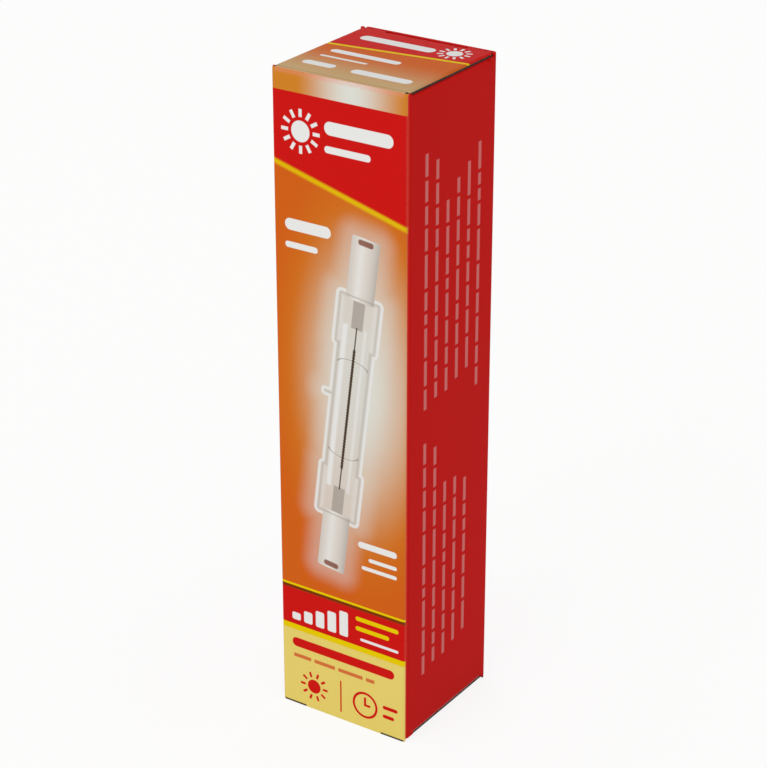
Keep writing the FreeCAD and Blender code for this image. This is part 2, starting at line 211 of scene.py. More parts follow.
@dataclass(frozen=True)
class CardSizes:
    """Sizes of the folded card, in millimetres."""

    half: float
    height: float
    lid_half: float
    lid_rear: float
    tongue_drop: float
    card: float = 0.45
    fold: float = 0.70
    crease: float = 0.50
    hinge_gap: float = 0.02
    crease_bevel: float = 0.96
    layer_gap: float = 0.10
    seam_setback: float = 0.30
    seam_gap: float = 0.02
    glue_flap_reach: float = 8.3
    glue_flap_setback: float = 1.6
    glue_flap_taper: float = 2.5
    flap_front: float = -9.7
    flap_rear: float = 9.08
    flap_reach: float = 3.0
    flap_step: float = 3.0
    flap_front_taper: float = 1.6
    flap_corner: float = 1.5
    tuck_fold: float = 0.50
    tuck_reach: float = 0.2
    tongue_lean_in: float = 1.8
    tongue_inset: float = 1.2
    tongue_shoulder: float = 1.2
    tongue_corner: float = 4.5
    slit: float = 4.0
    lid_corner: float = 0.6
    edge_round: float = 0.16

    @classmethod
    def from_frame(cls) -> "CardSizes":
        """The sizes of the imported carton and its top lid.

        Returns:
            The sizes, with the smaller ones at their defaults.
        """
        _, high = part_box("carton_body")
        lid_low, lid_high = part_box(End.TOP.lid)
        height = high.z / MM
        rear = lid_high.y / MM + cls.tuck_reach
        return cls(high.x / MM, height, lid_high.x / MM, rear, height - lid_low.z / MM)

    @property
    def pitch(self) -> float:
        """The width of a panel on the blank."""
        return 2 * self.half

    @property
    def blank_start(self) -> float:
        """Where the left panel starts on the blank."""
        return (Panel.LEFT.count - 0.5) * self.pitch

    @property
    def blank_end(self) -> float:
        """Where the back panel ends on the blank."""
        return (Panel.BACK.count + 0.5) * self.pitch

    @property
    def fold_at(self) -> float:
        """How far a panel is flat from its middle."""
        return self.half - self.fold

    @property
    def flap_top(self) -> float:
        """The height of the dust flaps' upper side."""
        return self.height - self.card - self.layer_gap

    @property
    def flap_cut(self) -> float:
        """How far a side panel is cut back where a dust flap folds from it."""
        return self.height - self.flap_top + self.fold

    @property
    def crease_y(self) -> float:
        """The lid hinge's place from front to back."""
        return self.crease - self.half

    @property
    def crease_z(self) -> float:
        """The lid hinge's height."""
        return self.height - self.crease

    def on_panel(self, u: float) -> tuple[Panel, float]:
        """The panel at a place on the blank, and how far to the right of its middle the place is."""
        count = math.floor(u / self.pitch + 0.5)
        return Panel.numbered(count), u - count * self.pitch


@dataclass(frozen=True)
class Spot:
    """A point of a card sheet: its place on both skins and on the blank, in millimetres."""

    outer: Vector
    inner: Vector
    blank: tuple[float, float]


def steps(start: float, end: float, count: int) -> list[float]:
    """Evenly spaced numbers.

    Args:
        start: the first number.
        end: the last number.
        count: how many steps lie between them.

    Returns:
        One number more than there are steps.
    """
    return [start + (end - start) * i / count for i in range(count + 1)]


def round_steps(start: float, corner: float, count: int) -> list[float]:
    """Places along a plate's edge that divide its round corner evenly.

    Args:
        start: where the corner starts.
        corner: its radius.
        count: how many steps it has.

    Returns:
        One place for each step.
    """
    return [start + corner * math.sin(turn) for turn in steps(0, QUARTER, count)[1:]]


def rounded_half(half: float, corner: float, past: float) -> float:
    """Half of a plate's width, where round corners narrow it.

    Args:
        half: half of its full width.
        corner: the corners' radius.
        past: how far past the corners' start.

    Returns:
        Half of its width there.
    """
    return half - corner + math.sqrt(max(0.0, corner**2 - max(0.0, past) ** 2))


def turned_over(spot: Spot, sizes: CardSizes) -> Spot:
    """A point of the carton's top, turned half round to the same place at its base.

    Args:
        spot: a point at the top.
        sizes: the card's sizes.

    Returns:
        The point at the base.
    """
    u = Panel.BACK.count * sizes.pitch - spot.blank[0]
    if u > sizes.blank_end:
        u -= len(Panel) * sizes.pitch
    outer, inner = [Vector((p.x, -p.y, sizes.height - p.z)) for p in (spot.outer, spot.inner)]
    return Spot(outer, inner, (u, sizes.height - spot.blank[1]))


def at_end(rows: list[list[Spot]], end: End, sizes: CardSizes) -> list[list[Spot]]:
    """Rows of points of the carton's top, placed at one of its ends.

    Args:
        rows: the rows at the top.
        end: the end that they are for.
        sizes: the card's sizes.

    Returns:
        The same rows for the top, or the rows turned over for the base.
    """
    if end is End.TOP:
        return rows
    return [[turned_over(spot, sizes) for spot in row] for row in rows]


def linked(name: str, data: bpy.types.ID) -> bpy.types.Object:
    """A new object in the scene.

    Args:
        name: its name.
        data: its mesh, light or camera.

    Returns:
        The object.
    """
    item = bpy.data.objects.new(name, data)
    bpy.context.scene.collection.objects.link(item)
    return item


class CardSheet:
    """A card sheet of patches that share their edges, with two skins and cut edges between them."""

    def __init__(self, name: str) -> None:
        """Starts an empty sheet.

        Args:
            name: the name of the piece that it becomes.
        """
        self.name = name
        self.spots: list[Spot] = []
        self.faces: list[tuple[int, ...]] = []
        self._known: dict[tuple[float, ...], int] = {}

    def add(self, rows: Sequence[Sequence[Spot]], kept: Sequence[Sequence[bool]] | None = None) -> None:
        """Adds a patch of four-sided faces.

        Args:
            rows: rows of points in the order of growing v, each in the order of growing u.
            kept: whether each face of each row is card. All are, without it.
        """
        for i, (below, above) in enumerate(zip(rows, rows[1:])):
            for j in range(len(below) - 1):
                if kept is None or kept[i][j]:
                    corners = (below[j], below[j + 1], above[j + 1], above[j])
                    self.faces.append(tuple(self._number(spot) for spot in corners))

    def _number(self, spot: Spot) -> int:
        """The count of a point, the same for every patch that meets there.

        Args:
            spot: the point.

        Returns:
            Its place in the list of points.
        """
        key = tuple(round(value, MERGE_DIGITS) for value in spot.outer)
        if key not in self._known:
            self._known[key] = len(self.spots)
            self.spots.append(spot)
        return self._known[key]

    def _cut_edges(self) -> list[tuple[int, int]]:
        """The edges that only one face has, in that face's direction."""
        edges = {(face[i - 1], face[i]) for face in self.faces for i in range(len(face))}
        return sorted(edge for edge in edges if edge[::-1] not in edges)

    def build(self, edge_skin: Callable[[Spot, Spot], Skin], margin: float = math.inf) -> bpy.types.Object:
        """The sheet as a closed mesh.

        Args:
            edge_skin: the skin of the edge between two points.
            margin: the height from which ink is carried over the top edge to the inside.

        Returns:
            The piece, linked to the scene, with no materials yet.
        """
        count = len(self.spots)
        cuts = self._cut_edges()
        inner = [tuple(i + count for i in reversed(face)) for face in self.faces]
        rims = [(b, a, a + count, b + count) for a, b in cuts]
        points = [spot.outer * MM for spot in self.spots] + [spot.inner * MM for spot in self.spots]
        mesh = bpy.data.meshes.new(self.name)
        mesh.from_pydata(points, [], self.faces + inner + rims)
        skins = [Skin.PRINT] * len(self.faces)
        for face in self.faces:
            lowest = min(self.spots[i].outer.z for i in face)
            skins.append(Skin.MARGIN if lowest > margin else Skin.BOARD)
        skins += [edge_skin(self.spots[a], self.spots[b]) for a, b in cuts]
        mesh.polygons.foreach_set("material_index", [skin.material for skin in skins])
        smooth = (Skin.PRINT, Skin.BOARD, Skin.MARGIN)
        mesh.polygons.foreach_set("use_smooth", [skin in smooth for skin in skins])
        sharp = {frozenset(edge) for edge in cuts} | {frozenset((a + count, b + count)) for a, b in cuts}
        for edge in mesh.edges:
            edge.use_edge_sharp = frozenset(edge.vertices) in sharp
        self._lay_out(mesh, skins)
        mesh.validate()
        return linked(self.name, mesh)

    def _lay_out(self, mesh: bpy.types.Mesh, skins: Sequence[Skin]) -> None:
        """Adds the blank's own map in millimetres, and the map for baking.

        Args:
            mesh: the sheet's mesh.
            skins: the skin of each face.
        """
        count = len(self.spots)
        u_values, v_values = zip(*[spot.blank for spot in self.spots])
        low = (min(u_values), min(v_values))
        wide, tall = max(u_values) - low[0], max(v_values) - low[1]
        scale = min(BAKE_PRINT_SHARE / wide, BAKE_FULL / tall)
        blank = mesh.uv_layers.new(name=BLANK_MAP)
        bake = mesh.uv_layers.new(name=BAKE_MAP)
        for face, skin in zip(mesh.polygons, skins):
            for loop, vertex in zip(face.loop_indices, face.vertices):
                u, v = self.spots[vertex % count].blank
                blank.data[loop].uv = (u, v)
                across, up = u - low[0], v - low[1]
                if skin is Skin.PRINT:
                    place = (BAKE_EDGE + across * scale, BAKE_EDGE + up * scale)
                elif skin in (Skin.BOARD, Skin.MARGIN):
                    place = (BAKE_BOARD_AT + across / wide * BAKE_BOARD_WIDTH, BAKE_EDGE + up * scale)
                elif skin in (Skin.CUT, Skin.SEAM):
                    slide = (up + across / wide) / (tall + 1) * BAKE_FULL
                    place = (BAKE_CUT_AT + (vertex >= count) * BAKE_RIM, BAKE_EDGE + slide)
                else:
                    slide = (across / wide + (up > tall / 2)) / 2 * BAKE_FULL
                    place = (BAKE_INKED_AT + (vertex >= count) * BAKE_RIM, BAKE_EDGE + slide)
                bake.data[loop].uv = place


class Plot:
    """A number that varies over a surface: the output of one shader node."""

    def __init__(self, tree: bpy.types.NodeTree, socket: bpy.types.NodeSocket) -> None:
        """Keeps the node tree and the socket that gives the number."""
        self.tree = tree
        self.socket = socket

    def _through(self, node: bpy.types.ShaderNode, *values: Number) -> "Plot":
        """The first output of a node that is fed these numbers.

        Args:
            node: the node.
            values: the numbers, in the order of its sockets.

        Returns:
            The result.
        """
        for pin, value in zip(node.inputs, values):
            feed(self.tree, pin, value)
        return Plot(self.tree, node.outputs[0])

    def math(self, operation: str, *others: Number) -> "Plot":
        """This number and others through one Math node.

        Args:
            operation: the node's operation.
            others: its other inputs.

        Returns:
            The result.
        """
        node = self.tree.nodes.new("ShaderNodeMath")
        node.operation = operation
        return self._through(node, self, *others)

    def __add__(self, other: Number) -> "Plot":
        """The sum."""
        return self.math("ADD", other)

    def __sub__(self, other: Number) -> "Plot":
        """The difference."""
        return self.math("SUBTRACT", other)

    def __mul__(self, other: Number) -> "Plot":
        """The product."""
        return self.math("MULTIPLY", other)

    def __truediv__(self, other: Number) -> "Plot":
        """The quotient."""
        return self.math("DIVIDE", other)

    def __abs__(self) -> "Plot":
        """The number without its sign."""
        return self.math("ABSOLUTE")

    def over(self, other: Number) -> "Plot":
        """The larger of two numbers."""
        return self.math("MAXIMUM", other)

    def under(self, other: Number) -> "Plot":
        """The smaller of two numbers."""
        return self.math("MINIMUM", other)

    def ramp(self, start: float, end: float, low: float = 0.0, high: float = 1.0) -> "Plot":
        """A smooth step between two limits.

        Args:
            start: where the step is at its low level.
            end: where it is at its high level.
            low: the low level.
            high: the high level.

        Returns:
            The level.
        """
        node = self.tree.nodes.new("ShaderNodeMapRange")
        node.interpolation_type = "SMOOTHSTEP"
        return self._through(node, self, start, end, low, high)

    def inside(self, soft: float = 0.05) -> "Plot":
        """1 where a distance is below 0, 0 where it is above, over a soft edge."""
        return self.ramp(soft, -soft)


def feed(tree: bpy.types.NodeTree, pin: bpy.types.NodeSocket, value: Feed) -> None:
    """Links a varying value to a socket, or sets a constant one there.

    Args:
        tree: the node tree.
        pin: the input socket.
        value: the value.
    """
    if isinstance(value, Plot):
        value = value.socket
    if isinstance(value, bpy.types.NodeSocket):
        tree.links.new(value, pin)
    else:
        pin.default_value = value


def colour_mix(tree: bpy.types.NodeTree, share: Plot, below: Feed, above: Feed) -> bpy.types.NodeSocket:
    """One colour over another.

    Args:
        tree: the node tree.
        share: the share of the upper colour.
        below: the lower colour.
        above: the upper colour.

    Returns:
        The socket that gives the mixed colour.
    """
    node = tree.nodes.new("ShaderNodeMix")
    node.data_type = "RGBA"
    for number, value in ((MIX_FACTOR, share), (MIX_BELOW, below), (MIX_ABOVE, above)):
        feed(tree, node.inputs[number], value)
    return node.outputs[MIX_RESULT]


def shader_mix(tree: bpy.types.NodeTree, share: Feed, first: Feed, second: Feed) -> bpy.types.NodeSocket:
    """One shader mixed with another.

    Args:
        tree: the node tree.
        share: the share of the second shader.
        first: the first shader's output.
        second: the second one's.

    Returns:
        The socket that gives the mixed shader.
    """
    node = tree.nodes.new("ShaderNodeMixShader")
    for pin, value in zip(node.inputs, (share, first, second)):
        feed(tree, pin, value)
    return node.outputs[0]


def noise_at(tree: bpy.types.NodeTree, place: bpy.types.NodeSocket, scale: float, detail: float) -> Plot:
    """Smooth noise.

    Args:
        tree: the node tree.
        place: the socket that gives the place.
        scale: lumps in each unit of length.
        detail: octaves of finer lumps.

    Returns:
        A number about 0.5.
    """
    node = tree.nodes.new("ShaderNodeTexNoise")
    for name, value in (("Scale", scale), ("Detail", detail), ("Vector", place)):
        feed(tree, node.inputs[name], value)
    return Plot(tree, node.outputs[0])


class PrintPlan:
    """Print painted in order over a ground colour, in blank coordinates."""

    def __init__(self, tree: bpy.types.NodeTree, ground: Ink) -> None:
        """Reads the blank's map.

        Args:
            tree: the material's node tree.
            ground: the colour under all the print.
        """
        self.tree = tree
        self.colour: bpy.types.NodeSocket | Colour = ground.rgba
        blank = tree.nodes.new("ShaderNodeUVMap")
        blank.uv_map = BLANK_MAP
        self.place = blank.outputs[0]
        split = tree.nodes.new("ShaderNodeSeparateXYZ")
        feed(tree, split.inputs[0], self.place)
        self.u, self.v = [Plot(tree, socket) for socket in split.outputs[:2]]

    def paint(self, mask: Plot, ink: Ink, share: float = 1.0) -> None:
        """Lays one ink over what is painted so far.

        Args:
            mask: where the ink goes, from 0 to 1.
            ink: the ink.
            share: how much of it goes there.
        """
        if share < 1.0:
            mask = mask * share
        self.colour = colour_mix(self.tree, mask, self.colour, ink.rgba)

    def plate(self, x: float, z: float, width: float, height: float, corner: float = 0.0) -> Plot:
        """The distance to a rectangle with round corners.

        Args:
            x: its middle's u.
            z: its middle's v.
            width: its size along u.
            height: its size along v.
            corner: the corners' radius.

        Returns:
            The distance, below 0 inside.
        """
        return plate_at(self.u - x, self.v - z, width / 2, height / 2, corner)

    def noise(self, scale: float, detail: float) -> Plot:
        """Smooth noise on the blank, with that many lumps in a millimetre and octaves of finer ones."""
        return noise_at(self.tree, self.place, scale, detail)


def plate_at(x: Plot, z: Plot, half_width: float, half_height: float, corner: float = 0.0) -> Plot:
    """The distance to a rectangle about a local origin.

    Args:
        x: the local place across.
        z: the local place along.
        half_width: half of its width.
        half_height: half of its height.
        corner: the corners' radius.

    Returns:
        The distance, below 0 inside.
    """
    across = abs(x) - (half_width - corner)
    along = abs(z) - (half_height - corner)
    return radius_at(across.over(0), along.over(0)) + across.over(along).under(0) - corner


def radius_at(x: Plot, z: Plot) -> Plot:
    """The distance from a local origin."""
    return (x * x + z * z).math("SQRT")


@dataclass(frozen=True)
class Bar:
    """A bar with round ends."""

    x: float
    z: float
    width: float
    height: float
    ink: Ink
    roundness: float = 0.98

    def paint(self, plan: PrintPlan) -> None:
        """Paints the bar."""
        corner = min(self.width, self.height) / 2 * self.roundness
        plan.paint(plan.plate(self.x, self.z, self.width, self.height, corner).inside(), self.ink)


@dataclass(frozen=True)
class Sun:
    """A disc with straight rays round it."""

    x: float
    z: float
    radius: float
    ink: Ink
    rays: int = 12
    ray_start: float = 1.35
    ray_end: float = 2.1
    ray_half_width: float = 0.17

    def paint(self, plan: PrintPlan) -> None:
        """Paints the disc and the rays.

        Args:
            plan: the print's plan.
        """
        x, z = plan.u - self.x, plan.v - self.z
        away = radius_at(x, z)
        turn = z.math("ARCTAN2", x) * (self.rays / math.tau)
        sideways = abs(turn - turn.math("ROUND")) * away * (math.tau / self.rays)
        middle = (self.ray_start + self.ray_end) / 2
        reach = (self.ray_end - self.ray_start) / 2
        lengthways = abs(away - self.radius * middle) - self.radius * reach
        ray = lengthways.over(sideways - self.radius * self.ray_half_width)
        plan.paint((away - self.radius).under(ray).inside(), self.ink)


@dataclass(frozen=True)
class Clock:
    """A ring with two hands. Each hand has the place of its middle and half its length, in radii."""

    x: float
    z: float
    radius: float
    ink: Ink
    line: float = 0.4
    long_hand: tuple[float, float] = (0.3, 0.36)
    short_hand: tuple[float, float] = (0.2, 0.26)

    def paint(self, plan: PrintPlan) -> None:
        """Paints the ring and the hands.

        Args:
            plan: the print's plan.
        """
        x, z = plan.u - self.x, plan.v - self.z
        half_line = self.line / 2
        up, tall = [self.radius * share for share in self.long_hand]
        aside, wide = [self.radius * share for share in self.short_hand]
        ring = abs(radius_at(x, z) - self.radius) - half_line
        hands = plate_at(x, z - up, half_line, tall).under(plate_at(x - aside, z, wide, half_line))
        plan.paint(ring.under(hands).inside(), self.ink)


@dataclass(frozen=True)
class Levels:
    """Upright bars that grow step by step."""

    x: float
    z: float
    bar: float
    pitch: float
    first: float
    growth: float
    count: int
    ink: Ink
    roundness: float = 0.2

    def paint(self, plan: PrintPlan) -> None:
        """Paints the bars on one base line.

        Args:
            plan: the print's plan.
        """
        corner = self.bar * self.roundness
        for i in range(self.count):
            tall = self.first + i * self.growth
            shape = plan.plate(self.x + i * self.pitch, self.z + tall / 2, self.bar, tall, corner)
            plan.paint(shape.inside(), self.ink)


@dataclass(frozen=True)
class WordRows:
    """Rows of word-long dashes."""

    x: float
    z: float
    length: float
    rows: int
    pitch: float
    tall: float
    ink: Ink
    upright: bool = False
    strength: float = 0.7
    words_per_mm: float = 0.27
    gap: float = 0.08
    ragged: float = 0.25
    row_shift: float = 137.3
    soft: float = 0.07

    def paint(self, plan: PrintPlan) -> None:
        """Paints rows of whole words that start at one edge and end unevenly.

        Args:
            plan: the print's plan.
        """
        along, across = plan.u - self.x, plan.v - self.z
        if self.upright:
            along, across = across, along
        place = across / self.pitch
        row = place.math("FLOOR")
        in_row = (abs(place - row - 0.5) - self.tall / self.pitch / 2) * self.pitch
        in_block = (abs(place - self.rows / 2) - self.rows / 2) * self.pitch
        shift = row * self.row_shift
        to_gap = self._words(plan, "DISTANCE_TO_EDGE", along + shift).outputs["Distance"]
        word = (Plot(plan.tree, to_gap) - self.gap) * (-1 / self.words_per_mm)
        middle = Plot(plan.tree, self._words(plan, "F1", along + shift).outputs["W"]) - shift
        uneven = plan.tree.nodes.new("ShaderNodeTexWhiteNoise")
        uneven.noise_dimensions = "1D"
        feed(plan.tree, uneven.inputs["W"], row + self.x)
        end = Plot(plan.tree, uneven.outputs["Value"]) * (-self.ragged * self.length) + self.length
        in_length = (middle * -1).over(middle - end).math("SIGN")
        shape = in_row.over(in_block).over(word).over(in_length)
        plan.paint(shape.inside(self.soft), self.ink, self.strength)

    def _words(self, plan: PrintPlan, feature: str, place: Plot) -> bpy.types.ShaderNode:
        """A row's words, as uneven cells along it.

        Args:
            plan: the print's plan.
            feature: what the node works out.
            place: the place along the row.

        Returns:
            The node.
        """
        node = plan.tree.nodes.new("ShaderNodeTexVoronoi")
        node.voronoi_dimensions = "1D"
        node.feature = feature
        feed(plan.tree, node.inputs["Scale"], self.words_per_mm)
        feed(plan.tree, node.inputs["W"], place)
        return node


@dataclass(frozen=True)
class LampPicture:
    """A double-ended lamp in simple shapes: two caps, two pinches, a tube and a filament."""

    x: float
    z: float
    lean: float
    cap_half: float = 2.3
    cap_length: float = 9.5
    cap_corner: float = 0.4
    cap_overlap: float = 1.2
    pinch_half: float = 3.9
    pinch_length: float = 6.5
    pinch_corner: float = 0.9
    tube_half: float = 3.4
    tube_length: float = 23.0
    tube_corner: float = 1.6
    joined: float = 2.4
    tip_sunk: float = 0.4
    tip_up: float = 1.6
    tip_half: tuple[float, float] = (1.7, 0.7)
    tip_corner: float = 0.6
    halo: float = 3.6
    rim: float = 0.45
    inner_line_at: float = 1.7
    highlights: tuple[tuple[float, float, float], ...] = ((-0.55, 0.40, 0.85), (0.42, 0.22, 0.6))
    highlight_inset: float = 1.0
    shoulder_at: float = 0.32
    shoulder_fade: float = 0.5
    shoulder_inset: float = 0.9
    foil_half: float = 0.95
    foil_inset: float = 1.1
    foil_corner: float = 0.1
    support_at: float = 0.3
    support_squash: float = 3.0
    support_reach: float = 0.72
    support_half: float = 0.14
    turns_per_mm: float = 2.2
    coil_swing: float = 0.2
    wire_half: float = 0.16
    wire_inset: float = 2.0
    lead_half: float = 0.1
    lead_reach: float = 1.4
    shine_at: float = -0.25
    shine_half: float = 0.18
    shade_at: float = -0.2
    shade_depth: float = 0.45
    collar_inset: float = 0.5
    collar_half: float = 0.12
    collar_edge: float = 0.05
    contact_inset: float = 0.75
    contact_half: tuple[float, float] = (1.25, 0.42)
    contact_corner: float = 0.4

    def paint(self, plan: PrintPlan) -> None:
        """Paints the glass, what is inside it, and the caps.

        Args:
            plan: the print's plan.
        """
        turn = math.radians(self.lean)
        u, v = plan.u - self.x, plan.v - self.z
        across = u * math.cos(turn) - v * math.sin(turn)
        along = u * math.sin(turn) + v * math.cos(turn)
        ends = abs(along)
        pinch_at = (self.tube_length + self.pinch_length) / 2
        pinch_reach = (self.pinch_length + self.joined) / 2
        from_pinch = ends - (pinch_at - self.joined / 2)
        cap_at = (self.tube_length + self.cap_length) / 2 + self.pinch_length - self.cap_overlap
        from_cap = ends - cap_at
        from_tip = across + (self.tube_half - self.tip_sunk)
        tube = plate_at(across, along, self.tube_half, self.tube_length / 2 + self.joined, self.tube_corner)
        pinch = plate_at(across, from_pinch, self.pinch_half, pinch_reach, self.pinch_corner)
        tip = plate_at(from_tip, along - self.tip_up, *self.tip_half, self.tip_corner)
        cap = plate_at(across, from_cap, self.cap_half, self.cap_length / 2, self.cap_corner)
        glass = tube.under(pinch).under(tip)
        plan.paint(glass.under(cap).ramp(self.halo, 0.0), Ink.GLOW, share=0.34)
        self._glass(plan, glass, tube, pinch, across)
        self._metal(plan, across, along, pinch_at)
        self._caps(plan, cap, across, from_cap)

    def _glass(self, plan: PrintPlan, glass: Plot, tube: Plot, pinch: Plot, across: Plot) -> None:
        """Paints the glass: a pale body with a dark line inside its bright rim, and long highlights.

        Args:
            plan: the print's plan.
            glass: the distance to all the glass.
            tube: the distance to the tube.
            pinch: the distance to the pinches.
            across: the place across the lamp.
        """
        half_rim = self.rim / 2
        plan.paint(glass.inside(), Ink.GLASS, share=0.74)
        inner_line = abs(glass + self.rim * self.inner_line_at) - half_rim
        plan.paint(inner_line.inside(soft=0.25), Ink.SHADE, share=0.34)
        bright_rim = abs(glass + half_rim) - half_rim
        plan.paint(bright_rim.inside(soft=0.15), Ink.WHITE, share=0.8)
        for place, half_width, share in self.highlights:
            streak = (abs(across - self.tube_half * place) - half_width).over(tube + self.highlight_inset)
            plan.paint(streak.inside(soft=0.25), Ink.WHITE, share)
        outwards = abs(across) * -self.shoulder_fade + self.pinch_half * self.shoulder_at
        shoulder = outwards.over(pinch + self.shoulder_inset)
        plan.paint(shoulder.inside(soft=0.3), Ink.WHITE, share=0.45)

    def _metal(self, plan: PrintPlan, across: Plot, along: Plot, pinch_at: float) -> None:
        """Paints the foils, the leads, the wound wire and its two supports.

        Args:
            plan: the print's plan.
            across: the place across the lamp.
            along: the place along it.
            pinch_at: how far the pinches' middles are from the lamp's.
        """
        ends = abs(along)
        foil_reach = self.pinch_length / 2 - self.foil_inset
        foil = plate_at(across, ends - pinch_at, self.foil_half, foil_reach, self.foil_corner)
        plan.paint(foil.inside(), Ink.SHADE, share=0.7)
        past = ends - self.tube_length * self.support_at
        from_ring = radius_at(across, past * self.support_squash) - self.tube_half * self.support_reach
        support = (abs(from_ring) - self.support_half).over(past * -1)
        plan.paint(support.inside(soft=0.12), Ink.WIRE, share=0.5)
        coil = abs((along * self.turns_per_mm).math("FRACT") - 0.5) * self.coil_swing
        wire = (abs(across) - self.wire_half - coil).over(ends - (self.tube_length / 2 - self.wire_inset))
        lead = (abs(across) - self.lead_half).over(ends - (self.tube_length / 2 + self.lead_reach))
        plan.paint(wire.under(lead).inside(soft=0.08), Ink.WIRE)

    def _caps(self, plan: PrintPlan, cap: Plot, across: Plot, along: Plot) -> None:
        """Paints the two round caps, with shade along their sides and a dark contact at their ends.

        Args:
            plan: the print's plan.
            cap: the distance to the caps.
            across: the place across the lamp.
            along: the place along a cap, outwards from its middle.
        """
        shape = cap.inside()
        side = across / self.cap_half
        half_length = self.cap_length / 2
        plan.paint(shape, Ink.CAP)
        shine = abs(side - self.shine_at) - self.shine_half
        plan.paint(shine.inside(soft=0.3) * shape, Ink.WHITE, share=0.6)
        shade = (side - self.shade_at).math("POWER", 2.0) * self.shade_depth
        plan.paint(shade.under(1.0) * shape, Ink.SHADE)
        from_collar = abs(along + (half_length - self.collar_inset)) - self.collar_half
        plan.paint(from_collar.over(cap + self.collar_edge).inside(soft=0.1), Ink.SHADE, share=0.5)
        from_contact = along - (half_length - self.contact_inset)
        contact = plate_at(across, from_contact, *self.contact_half, self.contact_corner)
        plan.paint(contact.inside(soft=0.1), Ink.BROWN, share=0.85)


